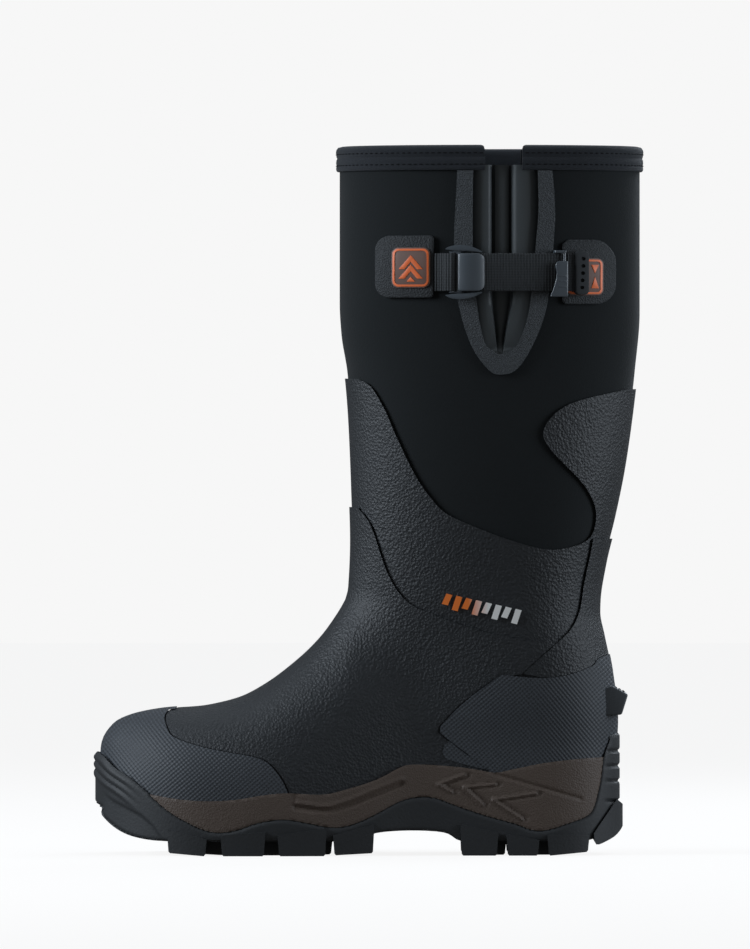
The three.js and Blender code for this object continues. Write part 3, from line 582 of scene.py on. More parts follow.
# ---- Foxing --------------------------------------------------------------------------------
# A brown band of rubber round the sole unit, embossed with chevrons at the heel and a long
# groove at the arch. It is wrapped over the upper's lower edge and cured in the sole mould.

RIM_IN = 3.7
foxing_top = bowed((-130.2, 36.6), (-115, 34), (-99.6, 32.7), (-81, 33.3), (-62, 36.3), (-48, 37.5),
                   (-28, 36.5),
                   (-14, 39.3), (5, 45.3), (20, 53), (29, 54.3), (44, 53.7), (61, 52), (75.6, 49.5),
                   (86, 51.3),
                   (104, 55), (125, 57.5), (141, 58.5), steps=3)
foxing_bottom = bowed((-130.2, 36), (-120, 27.3), (-109, 20.7), (-97, 15.3), (-87, 14.1), (-77, 15.9),
                      (-65, 20),
                      (-50, 21.9), (-35, 19.5), (-22, 17.1), (-11, 18.3), (2.4, 23.7), (18, 32), (29, 35),
                      (40, 34.5),
                      (55, 29), (71, 23.7), (88, 19), (98, 15.3), (107, 15.3), (119, 19), (130, 23),
                      (135, 28.5),
                      (139, 43.5), (141, 58), steps=3)


def feather(columns=760):
    """The last's outline where the upper meets the sole, and the way out from it."""
    angle = (np.arange(columns) + 0.5) * 2 * math.pi / columns
    z = np.full(columns, 36.0)
    front, rear = front_line(z), heel_back(z)
    x = (front + rear) / 2 - (rear - front) / 2 * np.cos(angle)
    y = toe_swing(x) - np.sign(np.sin(angle)) * half_width(x, z, front, rear)
    line = np.stack([x, y], -1)
    step = np.roll(line, -1, 0) - np.roll(line, 1, 0)
    out = np.stack([step[:, 1], -step[:, 0]], -1)
    return line, out / np.linalg.norm(out, axis=1, keepdims=True)


def far_from(line, x, z):
    """Distance from points to an open line, in the side view."""
    near = np.full(np.shape(x), 1e9)
    for (ax, az), (bx, bz) in zip(line, line[1:]):
        dx, dz = bx - ax, bz - az
        t = np.clip(((x - ax) * dx + (z - az) * dz) / max(dx * dx + dz * dz, 1e-9), 0, 1)
        near = np.minimum(near, np.hypot(x - ax - t * dx, z - az - t * dz))
    return near


def ridge_on(line, x, z, width):
    return np.clip(1 - (far_from(line, x, z) / width) ** 2, 0, 1)


def wall(name, out, low, high, outline, roll, relief=None, spacing=0.9):
    """An upright wall round the sole with rolled edges, trimmed to a side outline."""
    line, away = feather()
    levels = np.linspace(low, high, int((high - low) / spacing))
    x = line[None, :, 0] + away[None, :, 0] * out
    z = np.broadcast_to(levels[:, None], (len(levels), len(line)))
    x = np.broadcast_to(x, z.shape)
    edge = np.clip(1 - far_from([*outline, outline[0]], x, z) / roll, 0, 1)
    grow = out - roll * (1 - np.sqrt(1 - edge ** 2))
    if relief:
        grow = grow + relief(x, z)
    points = np.concatenate([line[None] + away[None] * grow[..., None], z[..., None]], -1)
    return cut(net(name, points), across(outline), "INTERSECT")


chevrons = [[(57.5, 47.8), (42.1, 42.4), (50, 38.1)], [(75.8, 42.4), (57.5, 40.7), (68.3, 30.6)],
            [(100.4, 37), (74.7, 33.2), (91.8, 22)]]
crease = [(75.8, 48.8), (127.2, 33.8)]
seam = [(-44, 29.5), (-44, 36)]
groove = bowed((-42.6, 29), (-25, 27), (-14, 29.7), (-5, 33), (9, 38.7), (20, 43), steps=4)


def emboss(x, z):
    wings = sum(1.3 * ridge_on(line, x, z, 1.4) - 0.8 * ridge_on(moved(line, 2.6, 0), x, z,
                                                                 2.0) for line in chevrons)
    return wings - 0.8 * ridge_on(crease, x, z, 1.3) - 0.8 * ridge_on(seam, x, z, 1.0) \
        - 1.3 * ridge_on(groove, x, z, 2.2) + 0.5 * ridge_on(moved(groove, 0, 2.4), x, z, 2.2)


foxing_rubber = Finish("foxing_rubber", (0.08, 0.059, 0.047), 0.6, 0.4)
tone = foxing_rubber.noise(20, 4.0)
foxing_rubber.set(Base_Color=foxing_rubber.blend(tone, (0.068, 0.049, 0.038), (0.092, 0.068, 0.054)),
                  Roughness=0.5 + 0.2 * tone)
foxing_rubber.bump(foxing_rubber.cells(900) * 0.8 + foxing_rubber.noise(1800, 2.0) * 0.5, 0.0004, 0.6)

foxing_outline = [*foxing_bottom, *foxing_top[::-1]]
FOXING_OUT = 6.3
foxing = wall("foxing_band", FOXING_OUT, 12, 62, foxing_outline, 0.9, emboss)
cut(foxing, lasted("core", RIM_IN))
finished(foxing, foxing_rubber, "foxing_rubber", "foxing")

# ---- Outsole -------------------------------------------------------------------------------
# One black moulding: a lugged tread, a ridged bumper that climbs over the toe and a riser that
# climbs the heel, with the brown band set into its side.

toe_bumper = bowed((-200, 61.5), (-168, 61.3), (-160, 60), (-152, 52.5), (-142, 46), (-130.2, 36.3), steps=4)
riser = bowed((141, 58), (144.6, 67.5), (150, 72.5), (200, 74), steps=4)
LUG = 8.6
underside = [*bowed((-200, 34), (-163, 30.5), (-159.5, 23.5), (-152, 16.6), (-143, 12), (-131, 9.4),
                    (-118, LUG), steps=4), (-6, LUG),
             *bowed((-3, LUG + 1), (5, 13.6), (25, 15), (45, 13.8), (53, LUG + 1), steps=4), (56, LUG),
             (130, LUG),
             *bowed((136, 10), (146, 14), (153, 22), (200, 34), steps=4)]
panel_edge = [(-163.8, 41.7), (-153, 32.7), (-136, 24.3), (-129, 18.3), (-122, 9)]


def sole_relief(x, z):
    toe = smooth(-134, -150, x)
    heel = smooth(140, 147, x)
    depth = far_from(toe_bumper, x, z)
    ridges = sum(np.clip(1 - ((depth - level) / 1.9) ** 2, 0, 1) for level in (3.2, 7.2, 11.2))
    notches = sum(np.clip(1 - ((z - level) / 1.3) ** 2, 0, 1) for level in (32, 44, 53, 62))
    edge = np.interp(x, [p[0] for p in panel_edge], [p[1] for p in panel_edge])
    below = smooth(1.0, -1.0, z - edge) * smooth(-112, -126, x) * smooth(-160, -152, x)
    return toe * 1.0 * ridges - heel * 1.2 * notches - 1.0 * below


outsole_rubber = Finish("outsole_rubber", (0.0185, 0.0205, 0.0225), 0.62, 0.4)
wear = outsole_rubber.noise(25, 5.0)
outsole_rubber.set(Base_Color=outsole_rubber.blend(wear, (0.0155, 0.0172, 0.019), (0.0225, 0.0248, 0.0272)),
                   Roughness=0.52 + 0.2 * wear)
outsole_rubber.bump(outsole_rubber.noise(700, 4.0) + outsole_rubber.cells(500) * 0.3, 0.0003, 0.5)

outline = [*underside, *riser[::-1], *moved(foxing_bottom[::-1], 0, -GAP), *toe_bumper[::-1]]
OUTSOLE_OUT, LUG_OUT = 6.8, 8.6
outsole = wall("outsole_tread", OUTSOLE_OUT, 7, 76, outline, 1.9, sole_relief)


def lug(sides, out, back=None):
    """A lug seen from the side, standing in the ring between two insets of the sole's edge."""
    line, away = feather(160)
    height = np.array([-1.0, 40.0])
    ring = [np.stack([np.concatenate([line + away * grow, np.full((160, 1), z)], 1) for z in height * tall])
            for grow, tall in ((out, 1), (back or 0, 1.2))]
    block = cut(net("lug", ring[0]), across(sides), "INTERSECT")
    return cut(block, net("inner", ring[1])) if back else block


def chamfered(x0, x1, z0, z1, top0, top1):
    return [(x0 - 0.9, top0), (x0, z0 + 1), (x0 + 0.9, z0), (x1 - 0.9, z1), (x1, z1 + 1), (x1 + 0.9, top1)]


for corners in ((-119, -97, 1.7, 0, 15.6, 10), (-87, -62, 0, 0, 12.4, 14.5), (-53, -25.5, 0, 0, 12.4, 16.7),
                (-20, 3, 0.5, 1.6, 12.4, 18.9), (56, 77, 0, 0, 18.8, 13.5), (83.5, 101.5, 0, 0, 13, 9.4),
                (108, 131.5, 0, 2.0, 12.4, 12)):
    cut(outsole, lug(chamfered(*corners), LUG_OUT, -4), "UNION")
heel_end = bowed((135, 13), (136.4, 6.4), (143, 8.4), (149.5, 12.5), (154.5, 20), (155.5, 27), (149, 33),
                 steps=3)
cut(outsole, lug(heel_end, LUG_OUT, -4), "UNION")
for corners in ((-104, -84, 1, 0, 10, 10), (-70, -52, 0, 0, 10, 10), (-40, -22, 0, 0.5, 10, 10),
                (66, 82, 0, 0, 10, 10), (96, 112, 0, 0, 10, 10)):
    cut(outsole, lug(chamfered(*corners), -11), "UNION")
cut(outsole, lasted("core", RIM_IN))
finished(outsole, outsole_rubber, "outsole_rubber", "outsole")

# ---- Collar binding --------------------------------------------------------------------------
# A woven tape folded over the top of the leg, with a fat roll along the rim and a flatter band
# below it. Two rows of lockstitch run through it, and it stops either side of the gusset.

NOTCH_FRONT, NOTCH_REAR = 69.6, 91.8
COLLAR_LEVEL = 416.0


def collar_path(count):
    """Points and outward ways round the leg, from behind the notch to in front of it."""
    z = np.full(count, COLLAR_LEVEL)
    front, rear = front_line(z), heel_back(z)
    middle, reach = (front[0] + rear[0]) / 2, (rear[0] - front[0]) / 2
    first = math.acos((middle - NOTCH_REAR) / reach)
    last = math.acos((middle - NOTCH_FRONT) / reach) + 2 * math.pi
    angle = np.linspace(first, last, count)

    def at(angle):
        x = middle - reach * np.cos(angle)
        return np.stack([x, -np.sign(np.sin(angle)) * half_width(x, z, front, rear)], -1)
    step = at(angle + 0.004) - at(angle - 0.004)
    out = np.stack([step[:, 1], -step[:, 0]], -1)
    return at(angle), out / np.linalg.norm(out, axis=1, keepdims=True)


binding_fabric = Finish("binding_fabric", (0.0105, 0.0135, 0.0185), 0.85, 0.3)
weave = binding_fabric.waves(900, 45) + binding_fabric.waves(900, -45)
binding_fabric.bump(weave, 0.0002, 0.5)
binding_fabric.shader.inputs["Sheen Weight"].default_value = 0.15

profile = [(0.3, 409.6), (0.4, 409.2), (1.4, 409), (1.95, 409.6), (2.15, 411), (1.75, 412.4), (2.15, 413.8),
           (2.0, 415.8), (1.45, 416.8), (2.0, 417.9), (1.9, 419.2), (2.3, 420.4), (2.0, 422), (1.0, 423.4),
           (-1.5, 424), (-5.5, 424), (-7.8, 423.4), (-8.8, 422), (-9, 420), (-8.7, 416), (-8.5, 411),
           (-8.3, 409.2),
           (-7.3, 409.6), (-7.3, 422.7), (0.3, 422.7)]
path, away = collar_path(380)
band = np.stack([np.concatenate([path + away * out, np.full((len(path), 1), z)], 1) for out, z in profile],
                1)
binding = net("collar_tape", band)
for x, way in ((NOTCH_FRONT, -1), (NOTCH_REAR, 1)):
    corner = bowed((x - way, 420.6), (x + way * 0.05, 421.4), (x + way * 0.8, 423.3), (x + way * 3.2, 424.3))
    cut(binding, outer_side([*corner, (x + way * 3.2, 427), (x - way * 2, 427), (x - way * 2, 420.6)]))
finished(binding, binding_fabric, "binding_fabric", "collar_binding", angle=50)


def stitches(name, seats, along, out, length, thick):
    """Short raised threads: each is a small six-sided bow with its ends sunk in the cloth."""
    turn = np.arange(6) * math.pi / 3
    corners, faces = [], []
    for seat, way, up in zip(seats, along, out):
        side = np.cross(way, up)
        first = len(corners)
        for reach, lift, share in ((-0.5, -0.35, 0.6), (-0.3, 0.12, 1), (0, 0.25, 1), (0.3, 0.12, 1),
                                   (0.5, -0.35, 0.6)):
            centre = seat + way * reach * length + up * lift * thick * 2
            corners += [centre + thick * share * (side * math.cos(t) + up * math.sin(t)) for t in turn]
        for ring in range(4):
            a = first + ring * 6
            faces += [(a + k, a + (k + 1) % 6, a + 6 + (k + 1) % 6, a + 6 + k) for k in range(6)]
        faces += [tuple(first + k for k in reversed(range(6))), tuple(first + 24 + k for k in range(6))]
    return outwards(drawn(name, in_place(corners), faces))


thread = Finish("thread", (0.0035, 0.004, 0.005), 0.8, 0.2)
thread.bump(thread.noise(3000, 1.0), 0.0001, 0.5)
STITCH_PITCH = 3.6
run = np.concatenate([[0], np.cumsum(np.linalg.norm(np.diff(path, axis=0), axis=1))])
steps = np.arange(3, run[-1] - 2, STITCH_PITCH)
for row, (out, z) in enumerate(((1.85, 412.4), (1.95, 419.2))):
    spot = np.stack([np.interp(steps, run, path[:, k]) for k in (0, 1)], -1)
    normal = np.stack([np.interp(steps, run, away[:, k]) for k in (0, 1)], -1)
    up = np.concatenate([normal, np.zeros((len(steps), 1))], 1)
    way = np.cross((0, 0, 1), up)
    seats = np.concatenate([spot + normal * out, np.full((len(steps), 1), z)], 1)
    seam = stitches(f"binding_stitches_{row + 1}", seats, way, up, 2.5, 0.34)
    finished(seam, thread, "binding_fabric", angle=60)

# ---- Gusset --------------------------------------------------------------------------------
# A smooth rubber bellows fills a slit in the outer side of the leg, so that the top can open
# round a wide calf. A grained rubber tape is pressed over the cut edge of the neoprene.

STRAP = 348.0
TAPE_OUT = 2.1


def on_leg(s, out, level=STRAP):
    """A place along the outer side of the leg and out from it."""
    s, out = np.broadcast_arrays(np.asarray(s, float), np.asarray(out, float))
    z = np.broadcast_to(np.asarray(level, float), s.shape)
    front, rear = front_line(z), heel_back(z)

    def y(x):
        return -half_width(x, z, front, rear)
    lean = y(s + 0.5) - y(s - 0.5)
    size = np.hypot(1, lean)
    return s + lean / size * out, y(s) - out / size


tape_rubber = Finish("tape_rubber", (0.042, 0.047, 0.052), 0.7, 0.4)
fleck = tape_rubber.cells(1100)
tape_rubber.set(Base_Color=tape_rubber.blend(fleck * 1.2, (0.028, 0.032, 0.036), (0.056, 0.063, 0.069)))
tape_rubber.bump(fleck, 0.0004, 0.9)

tape_outline = bowed((53.6, 430), (53, 405), (51.3, 367), (53, 334), (60.8, 306), (70.8, 291), (78.5, 287),
                     (89.6, 291), (100.8, 310), (107.4, 332), (110.8, 367), (111.4, 390), (108, 430),
                     steps=5)
BINDING_BOTTOM = 409.0
tape = layer("gusset_edge_tape", GAP, TAPE_OUT)
cut(tape, outer_side(tape_outline), "INTERSECT")
cut(tape, outer_side(moved(gusset, 0, 0.1)))
cut(tape, across([(-250, BINDING_BOTTOM - GAP), (250, BINDING_BOTTOM - GAP), (250, 470), (-250, 470)]))
finished(tape, tape_rubber, "tape_rubber", "gusset_tape")

bellows_rubber = Finish("bellows_rubber", (0.056, 0.064, 0.068), 0.5, 0.35)
bellows_rubber.set(Roughness=0.46 + 0.15 * bellows_rubber.noise(60, 3.0))
bellows_rubber.bump(bellows_rubber.noise(400, 3.0), 0.0002, 0.4)
pleat = [(60.6, -2.6), (62.5, -2.4), (64.5, -1.2), (68, -0.5), (71.4, -0.5), (72.8, -1.3), (73.6, -4),
         (74, -7.6), (74.6, -8),
         (75.3, -7.6), (75.8, -4.8), (77.4, -4), (80.2, -3.7), (83, -4), (84.2, -4.8), (84.6, -7.6),
         (85.1, -8),
         (85.6, -7.2), (86.2, -3.4), (87.2, -1.3), (89.2, -0.5), (93, -0.3), (97, -0.6), (99.6, -1.4),
         (101.2, -2.6),
         (103.2, -2.8)]
THICK = 1.4
PLEAT_FOOT = 78.4
rows = []
for z in np.arange(280, 413, 2.0):
    spread = 0.3 + 0.7 * float(smooth(298, 338, z))
    depth = float(smooth(300, 308, z))
    sink = 2.5 * float(smooth(354, 342, z))
    face = []
    for s, out in pleat:
        if 72 < s < 88:
            panel = sink if 75.5 < s < 84.4 else 0
            face.append((PLEAT_FOOT + (s - PLEAT_FOOT) * spread, -0.8 + (out - panel + 0.8) * depth))
        else:
            face.append((s, out))
    loop = face + [(s, out - THICK) for s, out in face[::-1]]
    s, out = np.array(loop).T
    x, y = on_leg(s, out, z)
    rows.append(np.stack([x, y, np.full(len(s), z)], -1))
bellows = net("gusset_bellows_sheet", np.array(rows))
finished(bellows, bellows_rubber, "bellows_rubber", "gusset_bellows", angle=50)

# ---- Patches and badges ----------------------------------------------------------------------
# Grained rubber patches anchor both ends of the strap to the leg. Each carries a moulded badge:
# a taupe ground with a raised orange rim and a plain raised emblem.


def rounded_plate(x0, x1, w0, w1, front, rear=None, steps=6):
    """A rectangle seen from the side, with its front and rear corners rounded."""
    rear = front if rear is None else rear
    line = []
    for x, w, r, start in ((x1 - rear, w1 - rear, rear, 0), (x0 + front, w1 - front, front, 90),
                           (x0 + front, w0 + front, front, 180), (x1 - rear, w0 + rear, rear, 270)):
        for k in range(steps + 1):
            turn = math.radians(start + 90 * k / steps)
            line.append((x + r * math.cos(turn), w + r * math.sin(turn)))
    return line


def flat(name, outline, low, high, bevel=0.3, segments=2):
    """A plate drawn flat in millimetres: x along the leg, z up from the strap's middle, -y outwards."""
    corners = [(x, -low, w) for x, w in outline]
    piece = pushed(drawn(name, corners, [tuple(range(len(corners)))]), low - high)
    return bevelled(piece, 55, bevel, segments) if bevel else piece


def bent(piece, crown=None, step=1.6):
    """Cut a flat piece into narrow strips and bend it round the leg at the strap."""
    def corners():
        place = np.empty(len(piece.data.vertices) * 3)
        piece.data.vertices.foreach_get("co", place)
        return place.reshape(-1, 3)

    place = corners()
    alone(piece)
    bpy.ops.object.mode_set(mode="EDIT")
    for axis, first in ((0, step / 2), (2, step)) if crown else ((0, step / 2),):
        way = np.eye(3)[axis]
        for at in np.arange(place[:, axis].min() + first, place[:, axis].max(), step):
            bpy.ops.mesh.select_all(action="SELECT")
            bpy.ops.mesh.bisect(plane_co=tuple(way * at), plane_no=tuple(way))
    bpy.ops.object.mode_set(mode="OBJECT")
    s, out, w = corners().T * np.array([[1], [-1], [1]])
    if crown:
        out = out + crown(s, w, out)
    x, y = on_leg(s, out)
    piece.data.vertices.foreach_set("co", in_place(np.stack([x, y, STRAP + w], -1)).ravel())
    piece.data.update()
    return piece


patch_rubber = Finish("patch_rubber", (0.022, 0.0245, 0.027), 0.7, 0.35)
fleck = patch_rubber.cells(1000)
patch_rubber.set(Base_Color=patch_rubber.blend(fleck * 1.1, (0.016, 0.018, 0.02), (0.03, 0.034, 0.037)))
patch_rubber.bump(fleck, 0.0004, 0.9)
HALF = 11.25
PATCH_OUT = 2.3
front_patch = flat("front_patch_plate", rounded_plate(5.4, 39.6, -15.2, 22, 8.5, 2.5), GAP, PATCH_OUT + 0.4,
                   0.8, 3)
cut(front_patch, flat("slot", rounded_plate(12.7, 44, -HALF - GAP, HALF + GAP, 0.2), -1, 2.1, 0))
finished(bent(front_patch), patch_rubber, "patch_rubber", "front_patch")
rear_patch = flat("rear_patch_plate", rounded_plate(115.4, 147, -19, 18.4, 3, 12), GAP, PATCH_OUT, 0.8, 3)
finished(bent(rear_patch), patch_rubber, "patch_rubber", "rear_patch")
backing = flat("rear_patch_backing", rounded_plate(117, 146, -15, 19.6, 3, 11), 0.05, 1.1, 0.4)
finished(bent(backing), patch_rubber, "patch_rubber")

badge_ground = Finish("badge_ground", (0.15, 0.088, 0.07), 0.55, 0.4)
badge_ground.set(Roughness=0.45 + 0.2 * badge_ground.noise(300, 3.0))
badge_ground.bump(badge_ground.noise(1500, 2.0), 0.0001, 0.4)
badge_orange = Finish("badge_orange", (0.82, 0.165, 0.045), 0.45, 0.4)
shade = badge_orange.noise(200, 3.0)
badge_orange.set(Base_Color=badge_orange.blend(shade, (0.74, 0.14, 0.035), (0.88, 0.19, 0.06)))
badge_orange.bump(badge_orange.noise(2500, 1.0), 0.00008, 0.4)


def badge(name, x0, x1, w0, w1, radius, out, emblem, node):
    """A moulded badge whose rim and emblem stand a little above its ground."""
    ground = flat(f"{name}_ground", rounded_plate(x0, x1, w0, w1, radius), out, out + 0.7, 0.15)
    finished(bent(ground), badge_ground, "badge_rubber", node)
    rim = flat(f"{name}_rim", rounded_plate(x0 + 0.7, x1 - 0.7, w0 + 0.7, w1 - 0.7, radius - 0.6),
               out + 0.5, out + 1.0, 0.12)
    cut(rim, flat("hole", rounded_plate(x0 + 1.9, x1 - 1.9, w0 + 1.9, w1 - 1.9, radius - 1.5), out - 1,
                  out + 3, 0))
    finished(bent(rim), badge_orange, "badge_rubber")
    for number, shape in enumerate(emblem):
        mark = flat(f"{name}_mark_{number + 1}", shape, out + 0.5, out + 1.0, 0.12)
        finished(bent(mark), badge_orange, "badge_rubber")


def peak(x, w, width, height, thick):
    """A roof-shaped stroke."""
    return [(x - width, w - height), (x, w), (x + width, w - height), (x + width - thick * 1.3, w - height),
            (x, w - thick * 1.5), (x - width + thick * 1.3, w - height)]


badge("front_badge", 15.6, 37.8, -9.2, 14.8, 4, 3.0,
      [peak(26.7, 10.2, 7, 8.4, 2.6), peak(26.7, 4.6, 7, 8.4, 2.6),
       [(24.2, -5.6), (26.7, -2.6), (29.2, -5.6)]],
      "front_badge")
badge("rear_badge", 117.4, 138.8, -13.6, 8.4, 3.4, 2.6,
      [[(133.8, -0.5), (136, 4.6), (131.6, 4.6)], [(133.8, -2.5), (136, -9.5), (131.6, -9.5)]], "rear_badge")

# ---- Webbing -------------------------------------------------------------------------------
# Ribbed black nylon webbing in three lengths: one sewn under the front patch and looped round
# the buckle's bar, one from the socket to the cam lock, and the tail behind the lock.

RIB = 1.7
webbing_nylon = Finish("webbing_nylon", (0.0085, 0.0095, 0.011), 0.8, 0.35)
picks = webbing_nylon.waves(330, 90)
webbing_nylon.set(Base_Color=webbing_nylon.blend(picks, (0.016, 0.018, 0.02), (0.036, 0.041, 0.045)))
webbing_nylon.bump(picks, 0.00015, 0.6)
webbing_nylon.shader.inputs["Sheen Weight"].default_value = 0.1


def webbing(name, route, thick=1.2, rib=0.4):
    """A ribbed band along a route of [along the leg, out] points, with rounded edges."""
    route = np.array(route, float)
    length = np.concatenate([[0], np.cumsum(np.linalg.norm(np.diff(route, axis=0), axis=1))])
    at = np.arange(0, length[-1], RIB / 8)
    centre = np.stack([np.interp(at, length, route[:, k]) for k in (0, 1)], -1)
    way = np.gradient(centre, axis=0)
    way /= np.linalg.norm(way, axis=1, keepdims=True)
    up = np.stack([-way[:, 1], way[:, 0]], -1)
    swell = thick / 2 - rib + rib * np.abs(np.cos(math.pi * at / RIB))
    edge = [(HALF - 0.35, 1), (HALF - 0.1, 0.7), (HALF, 0), (HALF - 0.1, -0.7), (HALF - 0.35, -1)]
    section = edge + [(-w, -h) for w, h in edge]
    rows = []
    for w, h in section:
        s, out = (centre + up * (h * swell)[:, None]).T
        x, y = on_leg(s, out)
        rows.append(np.stack([x, y, np.full(len(x), STRAP + w)], -1))
    return net(name, np.stack(rows, 1))


BAR_X, BAR_OUT = 50.5, 4.4
loop = [(BAR_X + 2.1 * math.cos(t), BAR_OUT + 2.1 * math.sin(t)) for t in np.radians(range(-90, 91, 15))]
short = webbing("sewn_webbing", [(13, 1.2), (42.6, 1.2), (46, 1.6), *loop, (47.5, 5.6), (45, 3.9),
                                 (42.5, 2.9),
                                 (40.4, 2.75)])
finished(short, webbing_nylon, "webbing_nylon", "short_webbing", angle=60)
WEB_OUT = 4.8
main = webbing("strap_webbing", [(64.2, WEB_OUT), (116.8, WEB_OUT)])
finished(main, webbing_nylon, "webbing_nylon", "main_webbing", body=None, angle=60)
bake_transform(main)
tail_band = webbing("tail_band", [(117.5, WEB_OUT), (128.2, WEB_OUT)], rib=0.42)
finished(tail_band, webbing_nylon, "webbing_nylon", "tail_webbing", body="tail", angle=60)

# ---- Release buckle --------------------------------------------------------------------------
# A glossy acetal buckle: a plug on the sewn webbing, a crowned socket that slides off it, and two
# rocker levers beside it, on pins, that hold the socket by its shoulders.

buckle_plastic = Finish("buckle_plastic", (0.06, 0.074, 0.088), 0.3, 0.6)
buckle_plastic.set(Roughness=0.28 + 0.1 * buckle_plastic.noise(250, 3.0))
buckle_plastic.bump(buckle_plastic.noise(500, 2.0), 0.00004, 0.15)
buckle_plastic.shader.inputs["Coat Weight"].default_value = 0.35
buckle_plastic.shader.inputs["Coat Roughness"].default_value = 0.18

CHEEK = 0.8
PIVOT_X, PIVOT_W = 55.0, HALF + 2.9
PIN = 0.7


def block(name, x0, x1, low, high, w0, w1, bevel=0.25):
    return flat(name, [(x0, w0), (x1, w0), (x1, w1), (x0, w1)], low, high, bevel)


def disc(x, w, radius):
    turns = np.arange(24) * 2 * math.pi / 24
    return [(x + radius * math.cos(t), w + radius * math.sin(t)) for t in turns]


def bar(name, x, out, radius, w0, w1):
    """A round bar up and down, drawn flat: its section lies in the x-out plane."""
    bpy.ops.object.select_all(action="DESELECT")
    bpy.ops.mesh.primitive_cylinder_add(vertices=20, radius=radius, depth=w1 - w0,
                                        location=(x, -out, (w0 + w1) / 2))
    piece = made(name)
    bpy.ops.object.transform_apply(location=True)
    return piece


edge = HALF + GAP
plug = bar("plug", BAR_X, BAR_OUT, 1.2, -edge - CHEEK / 2, edge + CHEEK / 2)
cut(plug, block("bridge", 53.4, 56, 2.6, 5.4, -edge - CHEEK / 2, edge + CHEEK / 2), "UNION")
cut(plug, block("tongue", 55.5, 61.6, 4.2, 5.3, -6, 6), "UNION")
for side in (-1, 1):
    a, b = sorted((side * edge, side * (edge + CHEEK)))
    cut(plug, block("cheek", 49, 56, 2.6, 5.4, a, b), "UNION")
    a, b = sorted((side * edge, side * (PIVOT_W + 1.4)))
    cut(plug, block("ear", 53.4, 57, 2.6, 3.6, a, b), "UNION")
    cut(plug, flat("pin", disc(PIVOT_X, side * PIVOT_W, PIN), 2.8, 5.6, 0.1), "UNION")
finished(bent(plug), buckle_plastic, "buckle_plastic", "buckle_plug")

for name, side in (("upper", 1), ("lower", -1)):
    shape = bowed((46.8, 13.6), (48.6, 14.9), (52, 15.9), (57, 16.1), (63, 14.9), (68.3, 12.2), steps=3) \
        + bowed((67.6, 11.6), (62, 12.4), (57, 12.7), (52.6, 12.8), (49.4, 13.2), steps=3)
    lever = flat(f"{name}_rocker", [(x, side * w) for x, w in shape], 3.9, 6.2, 0.35)
    cut(lever, flat("eye", disc(PIVOT_X, side * PIVOT_W, PIN + GAP), 2, 5.9, 0))
    finished(bent(lever), buckle_plastic, "buckle_plastic", f"lever_{name}", body=f"{name}_squeeze_lever")

SOCKET_FRONT, SOCKET_REAR = 54.4, 69.7
shoulders = rounded_plate(SOCKET_FRONT, SOCKET_REAR, -HALF, HALF, 1.0, 4.6)
socket = flat("socket", shoulders, 5.7, 7.3, 0.5, 3)
cut(socket, flat("floor", rounded_plate(57.4, SOCKET_REAR, -HALF, HALF, 1.0, 4.6), 2.6, 3.8, 0.2),
    "UNION")
cut(socket, block("bridge", 62, 63.8, 3, 6.5, -HALF + 0.4, HALF - 0.4, 0), "UNION")


def crown(s, w, out):
    """The cover swells in the middle and falls away to its front and rear lips."""
    share = np.clip((out - 5.6) / 1.7, 0, 1)
    return share * (1.2 - 2.4 * ((s - 60.5) / 8) ** 2 - 0.3 * (w / HALF) ** 4)


finished(bent(socket, crown), buckle_plastic, "buckle_plastic", "buckle_socket", body="socket")

# ---- Cam lock --------------------------------------------------------------------------------
# The rear adjuster: a frame with two cheeks that the webbing runs through, and a thumb lever on
# an axle that pinches it. The lever's front edge is dished and its lower end is flared.

LOCK_HALF = HALF + GAP
TRUNNION_X, TRUNNION_OUT, TRUNNION = 115.2, 6.7, 0.7


def cheek(side):
    a, b = sorted((side * LOCK_HALF, side * (LOCK_HALF + 1.5)))
    section = [(109.8, 2.6), (115.2, 2.6), (115.2, 4), (116.3, 4), (116.3, 7), (115.9, 7.6), (110.4, 7.6),
               (109.8, 7)]
    piece = flat("cheek", section, 0, b - a, 0.25)
    place = np.array([v.co for v in piece.data.vertices])
    turned = np.stack([place[:, 0], -place[:, 2], a - place[:, 1]], -1)
    piece.data.vertices.foreach_set("co", turned.ravel())
    return outwards(piece)


lock = cheek(1)
lock.name = "cam_lock"
cut(lock, cheek(-1), "UNION")
cut(lock, block("floor", 109.8, 115.2, 2.6, 3.9, -LOCK_HALF - 1, LOCK_HALF + 1, 0.1), "UNION")
cut(lock, bar("bore", TRUNNION_X, TRUNNION_OUT, TRUNNION + GAP, -2 * HALF, 2 * HALF))
finished(bent(lock), buckle_plastic, "buckle_plastic", "lock_frame")

thumb_outline = [(116.4, 6.6), (116.4, -14.6), *bowed((106.6, -14.6), (108.2, -10.5), (109.8, -4.5),
                                                      (110.2, 0),
                                                      (109.6, 3.6), (110.2, 5.8), (111.6, 6.6), steps=4)]
thumb = flat("thumb_tab", thumb_outline, 8.1, 9.5, 0.45, 3)
cut(thumb, block("hub", 114.3, 116.1, 5.85, 8.6, -LOCK_HALF + GAP, 6.6, 0.1), "UNION")
cut(thumb, bar("axle", TRUNNION_X, TRUNNION_OUT, TRUNNION, -LOCK_HALF - 1.2, LOCK_HALF + 1.2), "UNION")
for w in (-8.6, -5.4, -2.2):
    cut(thumb, block("grip", 111.2, 115.6, 9.2, 9.8, w - 0.45, w + 0.45, 0.15), "UNION")
finished(bent(thumb), buckle_plastic, "buckle_plastic", "thumb_lever", body="cam_lever")

# ---- Tail grip -------------------------------------------------------------------------------
# A rubber pull moulded round the end of the webbing, with five finger dimples in a column.

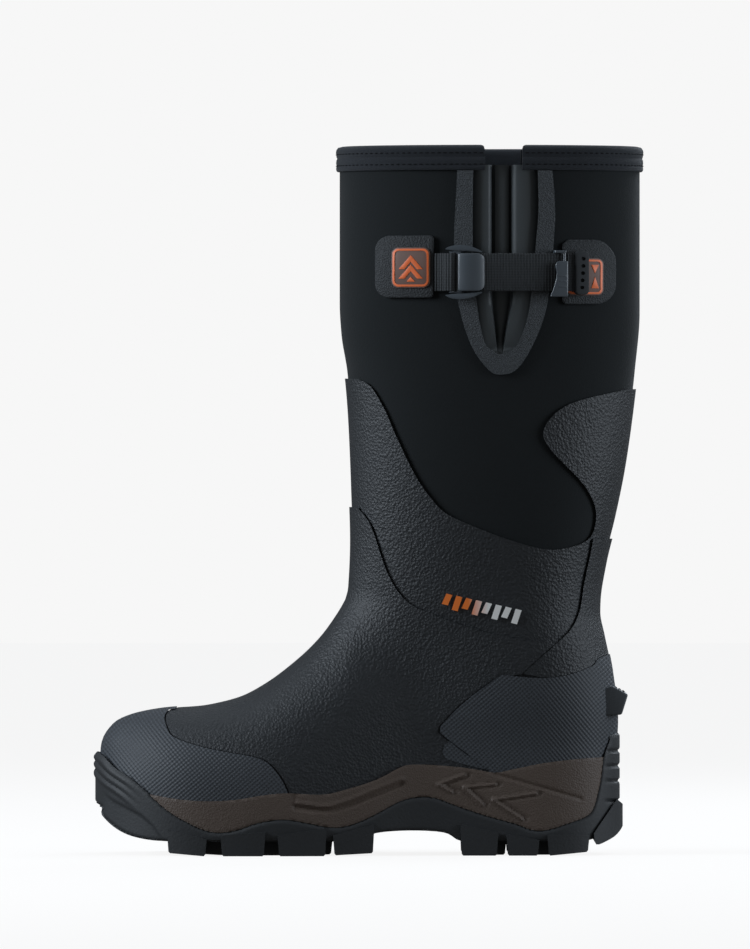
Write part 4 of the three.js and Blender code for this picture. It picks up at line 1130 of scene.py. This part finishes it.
grip_rubber = Finish("grip_rubber", (0.026, 0.029, 0.032), 0.75, 0.3)
grip_rubber.set(Roughness=0.7 + 0.15 * grip_rubber.noise(80, 3.0))
grip_rubber.bump(grip_rubber.noise(900, 2.0), 0.0001, 0.4)
grip = flat("tail_pull", rounded_plate(121.2, 128.9, -13.4, 12.6, 2.4), 3.8, 7.4, 0.7, 3)
cut(grip, block("sleeve", 117, 127.8, WEB_OUT - 0.9, WEB_OUT + 0.9, -HALF - GAP, HALF + GAP, 0))
for number in range(-2, 3):
    cut(grip, flat("dimple", disc(125.3 + 0.2 * number, number * 4.3 - 0.5, 1.15), 6.0, 9, 0))
finished(bent(grip), grip_rubber, "patch_rubber", "tail_grip", body="tail")

# ---- Ankle print -----------------------------------------------------------------------------
# A row of slanted bars printed on the instep sheet, turning from orange to white.

print_ink = Finish("print_ink", (0.9, 0.4, 0.1), 0.5, 0.4)
here = print_ink.node("ShaderNodeSeparateXYZ", {}, print_ink.place())
ORANGE_ENDS, WHITE_STARTS = (in_place((x, 0, 0))[0] for x in (60, 72))
share = print_ink.ramp(here, ORANGE_ENDS, WHITE_STARTS)
print_ink.set(Base_Color=print_ink.blend(share, (0.8, 0.19, 0.03), (0.82, 0.82, 0.8)))
print_ink.bump(print_ink.noise(2000, 1.0), 0.00005, 0.3)
BARS = 8
for number in range(BARS):
    x = 44 + number * 5.9
    z = 156.5 - number * 1.3
    tall = 8.4 if number % 2 else 6.2
    stripe = layer(f"ankle_bar_{number + 1}", OVERLAY_OUT - 0.1, OVERLAY_OUT + 0.12, FINE)
    cut(stripe, outer_side([(x, z - tall), (x + 3.6, z - tall - 0.9), (x + 6.4, z - 0.9), (x + 2.8, z)]),
        "INTERSECT")
    finished(stripe, print_ink, "upper_rubber")

# ---- Footbed and hidden parts ------------------------------------------------------------------
# A soft foam footbed drops into the fleece sock. Under it lie the board, the foam core and a
# steel shank, and stiff shells keep the toe and the heel in shape.

footbed_foam = Finish("footbed_foam", (0.045, 0.05, 0.056), 0.95, 0.15)
footbed_foam.bump(footbed_foam.noise(500, 3.0), 0.0004, 0.6)
footbed = lasted("foam_footbed", -NEOPRENE - GAP - FLEECE - GAP)
cut(footbed, across([(-250, 33.6), (250, 33.6), (250, 36.9), (-250, 36.9)]), "INTERSECT")
finished(footbed, footbed_foam, "footbed_foam", "footbed")

for node, colour, rough, metal in (("insole_board", (0.35, 0.25, 0.14), 0.9, 0),
                                   ("shank", (0.3, 0.32, 0.34), 0.35, 1),
                                   ("midsole_core", (0.25, 0.26, 0.27), 0.9, 0),
                                   ("toe_puff", (0.6, 0.56, 0.48), 0.6, 0),
                                   ("heel_stiffener", (0.6, 0.56, 0.48), 0.6, 0)):
    hidden = Finish(f"{node}_finish", colour, rough)
    spots = hidden.noise(80, 4.0)
    hidden.set(Base_Color=hidden.blend(spots, tuple(c * 0.8 for c in colour), colour),
               Roughness=rough - 0.1 * spots)
    hidden.bump(spots, 0.0002, 0.4)
    hidden.shader.inputs["Metallic"].default_value = metal
    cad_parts[node].material_slots[0].material = hidden.material
